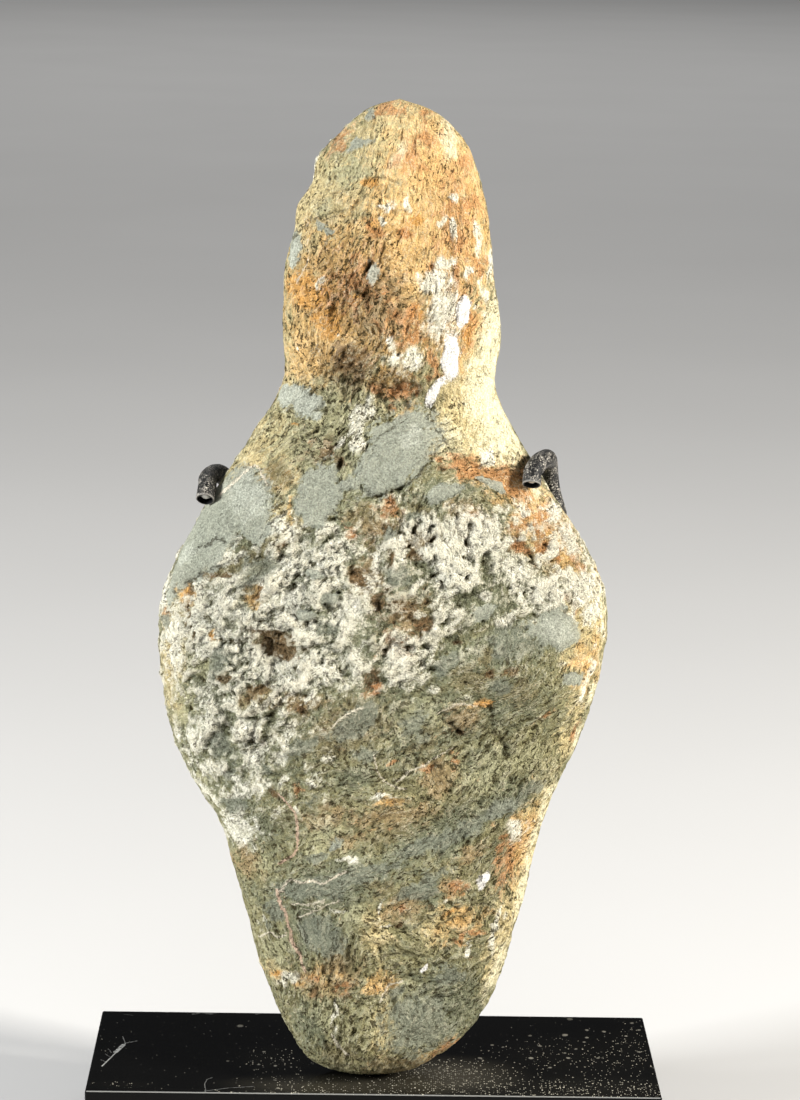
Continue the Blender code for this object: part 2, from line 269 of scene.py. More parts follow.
# The stone, in millimetres. The outlines' points are hundredths of its half width and of its height,
# the profiles' points hundredths of its height and of its reach, and the roundings of its height
stone = {
    "height": 237.0, "width": 107.6, "frontReach": 21.0, "backReach": 17.0, "lean": radians(3.5),
    "power": 0.9, "footRounding": 5.5, "crownRounding": 7.0, "rise": 19.31, "lowest": 19.25, "footY": -11.5,
    "rings": 372, "frontSides": 178, "backSides": 88, "outlineSteps": 900, "ringSteps": 2000, "evenAt": 0.45,
    "fadeAtSides": 3, "pushSideways": 0.5, "layersAgreeWithin": 26,
    "rightSide": [
        (-3, 0), (12, 0.2), (30, 2.4), (44.5, 5.3), (53.5, 9), (64.5, 17.5), (73, 26.2), (77, 29.2),
        (89.5, 36.2), (97.5, 42.5), (100.8, 48.2), (96, 53), (86, 57.2), (70.5, 62.5), (56.5, 67.6),
        (48.2, 71.9), (50.2, 76.6), (46.4, 82.5), (41.2, 90.6), (33, 95.7), (18, 98.9), (4, 100)],
    "leftSide": [
        (-3, 0), (-15, 0.1), (-30, 1.7), (-41, 5.6), (-50, 10.3), (-59, 17.4), (-65, 22), (-71, 27),
        (-80, 30), (-92, 35.5), (-98, 42.5), (-99, 48), (-94, 52.6), (-84, 57.1), (-72, 61.8),
        (-57, 67.2), (-45.8, 71.6), (-45.5, 78.5), (-44.4, 84), (-40.5, 87.3), (-40, 89.2),
        (-33, 92), (-32, 93.7), (-20, 97), (-8, 99.2), (4, 100)],
    "frontProfile": [
        (0, 64), (8, 68), (20, 80), (32, 91), (44, 100), (54, 96), (62, 83), (68, 70), (71, 67),
        (75, 78), (80, 82), (88, 74), (94, 62), (100, 50)],
    "backProfile": [
        (0, 66), (8, 72), (20, 84), (32, 95), (44, 100), (54, 96), (62, 86), (70, 76), (78, 79),
        (88, 72), (94, 62), (100, 50)],
    # broad carving and wear: sideways, up, half width, half height, turn in degrees, height
    "frontRelief": [
        (-3.0, 22, 3.2, 26, 0, 1.0), (-9.5, 24, 3.0, 28, 2, -0.8), (4.5, 22, 3.2, 26, -2, -0.7),
        (0.5, 205, 7.0, 22, -6, 0.8), (3.0, 176, 7.0, 6.0, 0, 1.3), (1.0, 165.5, 12.0, 3.4, 0, -1.6),
        (24.0, 151.5, 11.0, 2.2, -14, -1.1), (4.0, 152, 11.0, 12.0, 35, 0.7),
        (-39.0, 130, 9.0, 12.0, -35, 0.5), (-26.0, 107, 5.2, 4.0, -20, -2.2),
        (-21.5, 91, 11.0, 2.0, 32, -1.3), (2.0, 104, 7.0, 6.0, 0, 0.9), (13.0, 112, 15.0, 2.4, 12, -1.0),
        (19.0, 86, 2.4, 7.0, 30, -0.9), (-12.0, 222, 10.0, 9.0, 40, -0.9), (-17.0, 206, 9.0, 2.4, 28, 0.7),
        (10.0, 66, 22.0, 2.6, 24, -0.6), (-12.0, 50, 16.0, 3.0, 14, 0.5)],
    "backRelief": [
        (-14, 150, 14, 9, 20, -0.9), (18, 118, 14, 14, -15, 0.6), (-22, 88, 12, 5, 25, -1.2),
        (10, 62, 9, 14, 10, -0.8), (-6, 196, 9, 16, -8, 0.6), (8, 30, 10, 8, 0, -0.6)],
    "lumpHeight": 0.42, "longestLump": 34, "shortestLump": 11, "lumpWaves": 18, "lumpSeed": 11,
    "lumpsAtOutline": 0.25,
}

# Patches of each kind of stone on the front, in millimetres: sideways, up, half width, half height,
# turn in degrees, strength
patches = {
    "sage": [
        (-6, 93, 20, 8, 22, .9), (12, 94, 14, 8, 0, .9), (22, 108, 16, 6, 15, .9), (30, 99, 12, 9, 0, .8),
        (14, 64, 24, 5, 27, 1), (-12, 52, 18, 6, 16, 1), (30, 73, 12, 4, 30, .9), (16, 20, 11, 11, 0, 1),
        (-16, 41, 8, 7, 0, 1), (-16, 15, 7, 10, 0, .6), (-3, 152, 14, 12, 0, .7), (-20, 144, 12, 8, 0, .7),
        (14, 146, 10, 4, 15, .9), (24, 120, 10, 5, 20, .8), (42, 114, 9, 5, -15, .9),
        (-15, 122, 9, 6, 0, .8), (-36, 106, 7, 5, 30, .8), (-34, 82, 7, 8, 20, .7), (4, 129, 6, 5, 0, .8),
        (-28, 65, 7, 8, 0, .6), (8, 87, 10, 5, 30, .7), (24, 82, 9, 7, 50, .7), (-28, 132, 8, 9, 30, .8),
        (-6, 80, 9, 6, 20, .6), (28, 140, 5, 3, 0, .6), (12, 50, 7, 4, 30, .9), (-3, 112, 6, 9, 0, .6),
        (5, 123, 10, 5, 10, .9), (-4, 131, 7, 5, 0, .7), (24, 124, 9, 4, 15, .9), (8, 130, 6, 4, 0, .7)],
    "cream": [
        (-15, 205, 8, 16, -8, 1.2), (-19, 176, 6, 10, 0, 1.1), (-26, 158, 8, 5, 45, 1),
        (-12, 216, 10, 8, 40, 1.1), (6, 212, 14, 16, 0, 1.1), (4, 228, 14, 9, 0, 1),
        (15, 196, 9, 18, 0, .9), (20, 170, 8, 14, 0, 1), (26, 155, 8, 5, -30, .9),
        (38, 138, 9, 10, 50, .9), (48, 118, 6, 16, 0, .9), (48, 100, 3, 12, -15, .6),
        (44, 86, 3, 8, -20, .5), (37, 62, 4, 16, -10, .8), (31, 40, 3, 16, -15, .8),
        (-33, 151, 7, 3, 50, .9), (-46, 122, 4, 6, -10, .9), (-50, 106, 4, 14, 0, .9),
        (-23, 140, 4, 8, 0, .6), (-29, 99, 6, 3, 35, .6), (2, 16, 3, 13, 0, .6), (2, 206, 8, 8, 0, .8),
        (-24, 28, 5, 3, 0, .7), (0, 40, 4, 9, 0, .5), (16, 42, 9, 5, 20, .6), (-12, 27, 6, 4, 0, .9)],
    "amber": [
        (-8, 192, 14, 15, -20, 1.1), (0, 205, 9, 10, 0, .9), (-13, 179, 10, 10, 0, .9),
        (8, 222, 11, 9, 0, .5), (17, 206, 6, 15, 0, .8), (10, 185, 8, 9, 0, .7), (28, 149, 9, 4, -20, .9),
        (39, 137, 7, 9, 45, .7), (-24, 150, 5, 4, 0, .7), (-30, 122, 4, 3, 0, .6),
        (34, 62, 4, 12, -10, .5), (-1, 172, 7, 5, 0, .8), (20, 42, 8, 4, 20, .5), (-14, 28, 8, 3, 0, .5),
        (2, 28, 6, 4, 0, .4), (-46, 121, 3, 4, 0, .8), (14, 8, 8, 3, 30, .6), (2, 73, 6, 3, 0, .5),
        (17, 51, 4, 3, 0, .6), (49, 104, 4, 8, 0, .6)],
    "tan": [
        (2, 195, 5, 6, 0, .5), (14, 79.5, 4.2, 4.4, 25, 1), (19, 94, 5, 3, 10, .9),
        (3, 70, 12, 4, 8, .7), (18, 52, 3.6, 2.4, 25, .9),
        (-12, 69, 6, 4, 20, .7), (-31, 56, 4.5, 5, 0, .7), (-6, 64, 9, 3, 20, .5), (22, 60, 6, 2.5, 30, .6),
        (-8, 30, 4, 8, 0, .8), (6, 47, 8, 5, 20, .6), (-16, 27, 6, 4, 0, .7), (5, 119, 4, 5, 0, .8),
        (-4, 127, 4, 6, 0, .8), (8, 136, 8, 3, 0, .7), (-1, 141, 8, 3, 0, .7), (20, 142, 6, 3, -20, .7),
        (-20, 97, 8, 3, 10, .7), (-8, 176, 6, 5, 0, .8), (-2, 190, 8, 9, 0, .8), (8, 4, 12, 5, 0, .7)],
    "moss": [
        (-10, 221, 8, 6, 35, .5), (-15, 212, 6, 4, 40, .35), (-42.5, 105, 2.6, 3, 0, 1),
        (-45.5, 94.5, 2.6, 2.6, 0, 1), (-48, 91, 2.2, 2.4, 0, .8), (-47.5, 97, 1.5, 3, -10, .8),
        (-42, 76, 1.8, 1.6, -30, .9), (12, 99, 6, 3, 0, .3), (9, 16, 9, 9, 0, .9),
        (-13, 18, 6, 6, 0, .5), (-24, 34, 4, 4, 0, .7), (-6, 44, 4, 6, 0, .5), (7, 25, 4, 3, 0, .8),
        (8, 93, 9, 5, 15, .7), (-27, 56, 5, 4, 20, .4), (24, 80, 9, 8, 30, .6), (34, 84, 6, 5, 20, .6),
        (-14, 62, 10, 5, 20, .4), (-12, 160, 13, 10, 30, 1.2)],
    "olive": [
        (-8, 91, 11, 6, 25, 1), (22, 104, 9, 4, 5, .6), (34, 100, 6, 6, 30, .4), (10, 88, 10, 5, 30, .35),
        (-14, 158, 6, 4, 30, .2), (-9, 172, 3.5, 3, 0, .5),
        (-4, 142.5, 4, 2.5, 0, .8), (8.5, 143, 3, 2, 0, .8), (31, 100, 6, 4, 0, .6),
        (24, 109, 3, 1.5, 20, .7), (-3, 135, 3, 3, 0, .6), (10, 121, 6, 5, 0, .5),
        (2, 66, 9, 5, 10, .5), (1, 52, 6, 3, -10, .6), (-6, 33, 2, 6, 0, .6), (-8, 8, 7, 5, 0, .6),
        (5, 4, 8, 3, 0, .6), (-24.5, 150, 3.5, 4, 0, .6), (-40, 127, 11, 1.5, 20, 1.2),
        (-26, 135, 6, 1.6, 48, 1.1), (-30, 128, 7, 2, 25, .8)],
    "ochre": [
        (11, 213, 14, 24, 0, .9), (-4, 218.5, 3, 1.3, -15, 1), (1, 209, 5, 3, 0, .9),
        (5.5, 209.5, 1.2, 1.2, 0, 1), (-18, 192.5, 3.2, 2.2, -25, 1.1), (-14.5, 187.5, 1.9, 2, 0, 1.1),
        (-13, 184, 3, 2.4, -30, .9), (-7, 191.5, 1, 2.6, -45, .9), (6.5, 187.5, 2.2, 3, 0, .8),
        (19, 185, 1.8, 6, -8, .9), (18, 178, 1.3, 6, -3, .8), (-19, 178, 5, 8, 0, .5),
        (4.5, 166, 3, .8, 20, .9), (-39.5, 112, 1.8, 1.2, 0, .8), (-46.5, 121, 2, 3.2, -20, .8),
        (-31, 122.5, 3, 2.2, 0, .6), (-22, 142.5, .8, 3.5, 0, .7), (-29, 119.5, 1.5, 1.2, 0, .7),
        (36, 142, 4.5, 5, 20, .9), (47, 105.5, 4, 1.4, 12, .7), (51, 112, 1.6, 6, 0, .4),
        (23.8, 97.2, 1.8, .8, 0, 1.2), (50.5, 126, 1.4, 2.4, 25, .8), (44, 130, 3, 4, 0, .6),
        (1.5, 73, 4.2, 1.1, 0, .7), (34.5, 60, 3, 9, -8, .7), (-24.5, 27.5, 2.4, 1, 15, .9),
        (-19, 25.5, 3, .9, 20, .6), (-14.5, 28.5, 2, .8, 0, .7), (0, 26, 2.2, 1.6, 0, .9),
        (17, 45.5, 3, 2, 0, .6), (-9, 30, .8, 1.2, 0, .8), (-33, 150, 1.0, 3, -40, .6)],
    "gold": [
        (-18, 192.5, 4, 2.8, -25, 1.4), (-14.5, 187.5, 2.3, 2.8, 0, 1.4), (-13, 184, 2, 2.4, -30, 1),
        (-7, 191.5, 1, 2.6, -45, .9), (-4.5, 218.3, 2.4, 1.3, -15, 1), (5.5, 209.5, 1.6, 1.1, 0, 1),
        (3.8, 206.6, 1.6, .9, 10, .9), (-3.5, 208, 1.6, 2, 0, .7), (6, 188.5, 1.8, 2.8, 0, .8),
        (18.6, 184.5, 1.2, 5, -6, .8), (-46.5, 121, 1.6, 2.6, -20, .7), (-40, 112, 1.4, 1.2, 0, .7),
        (23.8, 97.2, 1.8, .8, 0, 1), (1.5, 73, 3.4, .8, 0, .2), (-24.5, 27.5, 1.8, .8, 15, .7),
        (-21, 162, 2, 1, 0, .6), (40, 133, 1.4, 4, 20, .6), (17, 45.5, 2, 1, 0, .6),
        (0, 26, 1.6, 1, 0, .3)],
    "bone": [
        (13.5, 228, 2, 5, 10, .8), (24.5, 182, 2.2, 8, -3, 1.1), (23, 170, 4, 9, 0, 1.1),
        (27, 160, 4.5, 6, 15, 1.1), (2, 225, 1.4, 4, -20, .7), (12, 160, 5, 6, 20, .6),
        (38.5, 66, 1.6, 12, -12, .8), (42.5, 74, 1.2, 4, -25, .7),
        (47, 86, 1.2, 6, -22, .6), (50.5, 97, 1, 5, -15, .5), (35, 48, 1.6, 10, -10, .7),
        (36.5, 92.5, 3.5, 1.2, 30, .4), (29, 28, 1.8, 8, -20, .7),
        (-13, 68, 3.5, 4, 30, .35), (36.5, 146, 1.6, 1.4, 0, .9), (52.5, 118, 1.2, 8, 0, .6)],
    "umber": [
        (-8.5, 178, 4, 2.4, 15, .8), (3, 171, 5, 2.6, 0, .9), (-8, 92, 9, 5, 25, .25),
        (-6, 193, 12, 12, -30, .18), (-8, 176, 9, 6, 0, .34), (-14, 156, 9, 6, 20, .12),
        (2, 172, 7, 4, 0, .3), (0, 138, 12, 5, 0, .2), (0, 122, 12, 8, 0, .2),
        (-5.5, 199, 1.4, 4.4, -36, .7), (-3.5, 192.5, 2.6, 2.4, 0, .8), (-9, 177.5, 3.2, 1.5, 10, .9),
        (-5, 175, 2, 2.4, 0, .7), (2.5, 172.3, 2.2, 1.2, 0, .9), (-13, 191, 2.5, 1, 30, .5),
        (-14, 155.5, 4, 1.2, 35, .8), (-10.5, 153.5, 1.8, 1.6, 0, .7), (-15, 152.8, 3, .8, 35, .7),
        (-24.5, 110.5, 4.2, 3.2, -10, 1.2), (-28.5, 113.5, 2, 1.4, 0, .9), (-37, 102, 1.6, 2, 0, .9),
        (-44.3, 112, .8, 3, 5, .8), (-45.5, 116, .8, 2.6, -10, .7), (-29.5, 99.5, 3.6, 1.8, 40, .8),
        (-5, 127, 1.8, 2.2, 0, .8), (-42.5, 125.5, 3.5, 1, 22, .8), (-38, 126.5, 3, .7, 10, .7),
        (-45, 122, 1, 2.4, 0, .7), (-29.5, 122.5, 1.6, 1.2, 30, .9), (-24, 134, 1.2, 2, -20, .8),
        (-19, 96, 2.4, 1.6, 0, .7), (-2.5, 102.5, 1.8, 3.4, 15, .8), (9.5, 116.5, 4, 3.4, 30, .6),
        (5.5, 120, 3.6, 3, 0, .55), (11, 123, 3, 1.6, 0, .5), (16.8, 112.5, 1.3, .8, 0, 1),
        (8, 132.5, 3.4, 1.4, 20, .6), (25, 104.5, 1.3, 1.1, 0, .9), (31, 105.5, 1.8, 1.8, 0, .7),
        (1.5, 132, 2, 2.4, 0, .5), (32.5, 133.5, 2.8, 1.2, -25, .8), (-24.7, 74.8, .9, 1, 0, 1),
        (-33.5, 91, 1.4, 1.4, 0, .8), (-28, 86, 1.2, 1, 0, .7), (-14, 24, 1.3, 1, 20, 1),
        (5, 42.3, .8, .7, 0, 1), (14, 153, 1.8, .9, -15, 1.1), (18.5, 90.3, 2, .8, -30, 1),
        (1, 145.2, 1.5, .7, 0, .7), (2.3, 179.3, .9, .9, 0, .9)],
    "rust": [
        (15, 211, 9, 20, 0, .22), (4, 224, 8, 8, 0, .16), (-7, 196, 12, 12, 0, .2), (17, 190, 8, 14, 0, .2),
        (4, 186, 8, 8, 0, .3), (33, 141, 9, 7, 40, .15), (31, 57, 4, 12, -14, .3), (4, 112, 8, 8, 0, .12),
        (0, 234.5, 3.5, 1.5, 10, .8), (8.5, 233.5, 1.6, 1.6, 0, .7), (-12, 227.5, 3.8, .9, 42, .9),
        (9, 228, 2.5, 2, 0, .8), (4.5, 225.5, .9, 3.2, -25, .9), (17.5, 222.5, 2, 2.5, 0, .7),
        (14.5, 217.5, 1.5, 2.5, 0, .6), (19, 213, 1.6, 3.5, -15, .7), (16, 204.5, 1.5, 3, -25, .8),
        (10, 199, 1.4, 2.8, 0, .7), (15.5, 197, 1.6, 3.4, 0, .8), (20.5, 199, 2, 3.6, 0, .8),
        (4, 206.5, 1.8, 1, 20, .9), (-2.5, 206, 2, 1, 0, .8), (-4.5, 209, 1.3, 2, 0, .7),
        (-12.5, 196.5, 2, 1.4, 30, .8), (6.5, 183, 2, 2.2, 0, 1), (10.5, 177, 1.2, 3, 15, .9),
        (3, 170, 4.5, 2.4, 0, .7), (-2.5, 171, 1.3, 1.1, 0, .8), (20, 152, 5.5, 1.8, -28, 1),
        (27, 150.5, 6, 2.4, -8, 1), (33, 150, 3.5, 3, 0, .9), (31, 146.5, 3.5, 2, -35, .9),
        (1.5, 143.5, 3, 2.2, 0, .8), (-7.3, 138, 1.2, 1.2, 0, .9), (21, 141.5, 2.5, 1.6, 0, .8),
        (12, 155.5, 2.4, .9, -5, .8), (-51.5, 116, .7, 1.6, 0, .8), (-1.5, 102.4, 1.6, .8, 0, .9),
        (-2, 100, 2, 1, 0, .8), (32, 133.8, 3, 1.1, -25, .9), (37, 134.2, 1.6, 1.4, 0, .9),
        (36.5, 138, .8, 3, 20, .8), (33, 141.5, 1.2, 1.6, 0, .7), (44, 136.3, 2, 1.4, -30, .9),
        (45.5, 131.5, 1.4, 3, 15, .8), (41.2, 132, .7, 2.6, 5, .8), (47.5, 128, .8, 2, 0, .7),
        (42.5, 122.3, 1.6, .8, -30, .9), (45.5, 119.5, .7, 1.6, 20, .7), (38, 141, 4, 4, 20, .5),
        (17.3, 83.5, .5, 1.6, 5, 1), (10.5, 81.7, 1.2, .6, 0, 1), (3.2, 83.3, .7, .6, 0, 1),
        (29, 61, .5, 3, -12, .9), (31.2, 57.5, .9, 3.4, -18, 1), (30, 53.5, .7, 1.6, -15, .9),
        (19, 52, 2.6, 1.8, 20, .7), (38, 93.5, 3, .5, 32, .9), (17, 50, .5, .8, 0, 1),
        (46.5, 88, .7, 3, -15, .8), (-15, 27.5, 2.2, 1, 0, .7), (-8, 26, 2.5, 3, 0, .3),
        (-7.5, 23.5, 1, .7, 0, .7), (18.8, 38, .9, .5, 30, 1.1), (20.5, 39.3, .9, .6, 50, 1.1),
        (23.5, 40, 1.8, .6, -10, 1), (17, 9, 4, 1, 38, .9), (6.5, 46, 2, .9, 0, .6),
        (-19.5, 75.5, 1.4, 1, 0, .8)],
    "chalk": [
        (-.6, 213.7, 1.4, 1.1, 0, 1), (4, 213.5, .8, 1.6, 0, .8), (-1.3, 209.3, 1, 1.6, 0, .6),
        (14.6, 214.3, 1.2, .7, 0, .9), (12.2, 209.8, .9, 1.2, 20, .9), (14.6, 207.5, .8, 2, 0, .9),
        (20.5, 206, .7, 3.4, 20, .9), (13, 200, 2.2, 1.8, 0, 1), (11, 195.5, 3.6, 2.2, -10, 1),
        (13, 190.5, 3.4, 4, 10, 1), (11, 186, 2.4, 4.2, 5, .9), (24, 199.5, 1, 3, 0, 1),
        (22, 192, .9, 4, 5, .8), (18.5, 197.5, .9, 1.2, 0, .7), (-15.6, 195, 1.2, 1, 30, .6),
        (-11.2, 183.3, .5, .5, 0, 1), (-20.5, 178.5, .5, 1, 0, .8),
        (2.3, 178, 4.8, 4.2, 0, .42), (6, 177.5, 1.7, 3, 10, .8), (1, 181, 1.8, 1.2, 0, .8),
        (-2.3, 165, 1.1, 1.8, -15, 1), (-5.8, 164.5, 1.9, 4, -25, 1.2),
        (-6.3, 159, 1.3, 3.8, -20, .9), (-10.5, 157.5, 2.8, 1, 40, .7), (24, 155, 1, 2.4, -15, .8),
        (-22, 137, 1.6, 2.6, 0, 1), (-22.5, 129.5, 3.2, 3, -10, .9), (-12, 138, 2.4, 2, 0, .8),
        (-10, 132.5, 2.5, 1.5, 0, .8), (-39, 119, 5.5, 4, 30, .9), (-32, 116, 5, 3.5, 20, .8),
        (-22, 122, 6, 4, 20, .9), (-20, 116, 6, 2.6, 0, .8), (-11.5, 127.5, 2.4, 1.4, -20, .9),
        (-8, 120, 4.5, 2, 0, .8), (-9.5, 113, 1.6, 1.2, 0, 1), (-40, 108, 6, 2.4, 25, .7),
        (-27.5, 105.5, 3.2, 1.6, 10, 1), (-49, 108, 1.8, 9, 3, 1), (-47.5, 98, 1.6, 5, 12, .4),
        (-40, 98, 3, 4, 0, .3), (-35, 96, 3, 3, 0, .5), (-14.5, 105.5, 6, 2, 3, .8),
        (-19, 101.5, 5, .9, 15, .9), (-6, 125, 1.8, 1.4, 0, .6), (-2, 131, 1.5, 2.6, 0, .7),
        (2.5, 135.5, 4, 1.8, 10, .9), (20, 137.5, 5, 4, 10, 1.2), (25, 135.5, 3, 4, 10, .9),
        (17, 128.5, 3.8, 2.5, 0, 1.5), (10.5, 134.5, 2.4, 1.2, 20, .7), (30, 129.5, 3.5, 3, -20, .7),
        (3.5, 109, 4, 5, 10, .6), (9, 107, 2.5, 3, 0, .5), (4, 104, 3.5, 2.2, 10, .8),
        (29, 117, 2.8, 2, 25, .9), (37.5, 123.8, 3.4, 2, 10, 1), (46.5, 124, 3.8, 3, 10, 1.3),
        (43.5, 117.5, 2.2, 1.2, 0, .8), (41, 142, 2.5, 3, 35, .9), (44, 135, 2.4, 5, 30, .7),
        (50, 130, 2, 5, 25, .7), (33, 143, 1.6, 1.6, 0, .9), (49.5, 118, 2.5, 3, 0, .6),
        (24, 123.5, 1.2, 1.2, 0, .9), (7, 126, 2.4, 1.2, 60, .7), (12.5, 126, 2, 1.5, 0, .6),
        (48, 99, 1.4, 4, -20, .8), (50, 104, 1, 4, -10, .6), (-45, 86, 3.2, 5, 25, .7),
        (-40, 92, 5, 3, 0, .5), (-33, 91, 4, 3, 0, .6), (-40, 80, 4, 3, -30, .5), (-30, 84, 4, 5, 0, .6),
        (-24, 84.5, 3, 2, 30, .7), (-29, 76, 5, 2.5, 0, .7), (-33, 74, 4, 1.5, 0, .7),
        (-33.5, 63.5, 2.6, 4, 15, 1.1), (-21, 90, 1.5, 2, -30, .8), (-22.5, 78, 1.2, 1, 0, .8),
        (1, 75, 3.8, .5, 0, .9), (32.8, 65, 2.2, 2.4, -20, .9), (-21, 27.5, 3.2, 1.4, 30, 1),
        (-9.8, 18, .6, 5, 3, .7), (0, 46.5, .5, 3, -5, .8), (2.5, 42, 1.6, .6, -10, .8),
        (21.8, 36, .9, 1.8, 0, 1), (28.5, 38, 1, 5, -8, .9), (-8, 58.5, 2.4, 1, -20, .8),
        (-9, 46, 3, 1, 0, .5), (16.5, 48.3, .7, .6, 0, 1), (-29.5, 66, 2, 3, 0, .4)],
    "slate": [
        (-4.5, 233.5, 2.2, 1.3, 20, .7), (-8, 226.5, 6, 2.2, 28, .6), (-15, 207.5, 4, 1.4, -5, .5),
        (-21.5, 202, 1.8, 5, -12, .9), (-20.5, 167.3, 5.4, 2.8, -12, 1.1), (2.8, 156.5, 5.8, 10, -42, 1.2),
        (-1.5, 150.5, 4.5, 4, 0, 1.1), (-15, 146, 4.8, 6.6, -10, 1.1), (-8, 149, 3.5, 2.5, 0, .6),
        (25, 148, 4, 1.2, -25, .9), (14, 147, 4.5, 2, 20, 1), (-32, 144, 5.5, 6, 0, 1.2),
        (-41.5, 135.5, 5.5, 13, -35, 1.2), (-30, 138.5, 4, 4.5, 0, 1), (-46.5, 128, 2.6, 5.5, -35, 1),
        (-49.5, 122, 1.2, 6, -12, .8), (-17.5, 118.5, 3.5, 1.2, 0, .9), (-16, 127.5, 2.8, 1.6, -15, .8),
        (-12.5, 122, 2.6, 2, 0, .8), (41, 114.5, 6, 3.6, -20, 1.1), (45, 102, 3.6, 1.4, 0, .8),
        (24, 119.5, 3.5, 2.2, 25, .8), (42, 120, 1.8, 1, 0, .7), (-10, 63, 5, 1.2, 25, .5)],
    "paleSlate": [
        (-31, 144.6, 4.6, 4.2, 20, 1), (-20.5, 167.3, 5, 2.4, -12, 1.2), (41, 114.5, 5, 3, -20, .7),
        (29.5, 70.5, 5, 1.6, 31, .9),
        (-46, 130, 2, 4, -30, .7), (-21.5, 202, 1.4, 4, -12, .6), (6, 160, 3, 5, -40, .5),
        (-3.6, 197.5, 1.6, 3.2, 10, .8)],
    "bluestone": [
        (-8, 91, 8, 4, 28, .5), (29, 112, 4, 3, 30, .6),
        (6.5, 141.5, 2.5, 1.6, 20, .7), (1.5, 137.5, 2.8, 1.1, 20, .8), (-29, 128, 6, 3, 30, .9),
        (-51.8, 112, .9, 6, 0, .7), (-38, 106, 2.4, 4, -15, 1), (-13, 115.4, 2.2, 1.3, 0, .9),
        (-37.5, 85.2, 2.6, 2.8, -20, 1.1), (-35, 81, 1.5, 1, 0, .7), (-36.4, 78.2, 2.2, 1.2, 0, .9),
        (-34, 70.6, 3, 2.2, 10, 1.1), (-26.5, 80, 1.8, 1.6, 0, .8), (3, 128, 2.3, 2.4, 0, 1.1),
        (30, 111.5, 4, 3.4, 30, 1.1), (36, 111, 4, 3, 0, .6), (15.6, 107, 2.8, 2, 20, 1.2),
        (28, 102, 3, 2.4, 0, .9), (-19, 86, 4, 2, 25, 1.1), (-15.5, 88.5, 2.4, 1.2, 25, .8),
        (-6, 92.8, 4.6, 2.6, 32, 1.2), (-2.5, 96.3, 2.4, 1.6, 30, .9), (-3.5, 85, 3, 2.4, 0, .7),
        (8, 92, 4, 4, 0, .8), (-16, 73, 4, 1.2, 20, .5), (-15, 59.3, 3.4, .9, 15, .9),
        (-15, 51, 7.5, 2.2, 10, 1.2), (-5, 54.8, 5.4, 2, 20, 1.1), (1.5, 57.2, 4, 1.2, 5, 1),
        (-25, 44, 2.2, 3, 10, 1.1), (12.5, 62.5, 9, 1.8, 24, 1.1), (22, 67, 4, 1.6, 28, 1.1),
        (29.5, 70.8, 6, 2, 31, 1.1), (37.5, 75.4, 3.4, 1.5, 28, .9), (10, 52.2, 5, 2, 34, 1.3),
        (15.4, 56, 3, .9, 30, .9), (-12, 38, 6, 4, -15, .9), (-15, 41, 4, 4, 0, .9),
        (17.6, 29.3, 3, 2, 0, 1.2), (10.5, 17, 8, 8.5, 0, 1), (4.5, 25, 2.2, 2.5, -20, .7),
        (-24.5, 63.6, 3.6, .7, 12, .6)],
    "pebble": [
        (17.3, 189.5, 1.4, 3.2, -12, 1.1), (14.8, 178.5, 1.7, 5, 0, 1.2), (13.2, 178, .9, 2.4, -10, .9),
        (11.3, 170.5, 1.2, 4, -30, 1.1),
        (25.5, 53, 1.2, 2.6, -20, .9), (11.5, 31.5, 1.4, .5, 40, 1)],
}

# How far each kind's edge wanders, and how ragged it is; the kinds left out take the common value
wander = {
    "common": 3.4, "paleSlate": 2.6, "amber": 5.0, "gold": 2.4, "slate": 2.6, "bluestone": 3.2,
    "pebble": 1.0, "bone": 2.4, "sage": 5.0, "cream": 5.0, "tan": 3.5,
}
ragged = {
    "common": 0.75, "slate": 0.36, "bluestone": 0.6, "pebble": 0.3, "bone": 0.5, "sage": 0.6, "cream": 0.6,
}

# Patches strewn over the back: how many of each kind, and the widest of each
strewn = {
    "counts": {"sage": 40, "cream": 30, "amber": 16, "gold": 9, "tan": 24, "moss": 26, "olive": 20,
               "ochre": 22, "bone": 8, "umber": 24, "rust": 20, "chalk": 34, "slate": 16, "paleSlate": 6,
               "bluestone": 20, "pebble": 5},
    "widest": {"common": 5.5, "sage": 14.0, "cream": 14.0, "tan": 9.0, "amber": 9.0, "moss": 9.0,
               "slate": 8.0, "ochre": 7.0},
    "smallest": 2.0, "sideways": 48, "lowest": 4, "highest": 232, "weakest": 0.6, "strongest": 1.1,
    "seed": 5,
}

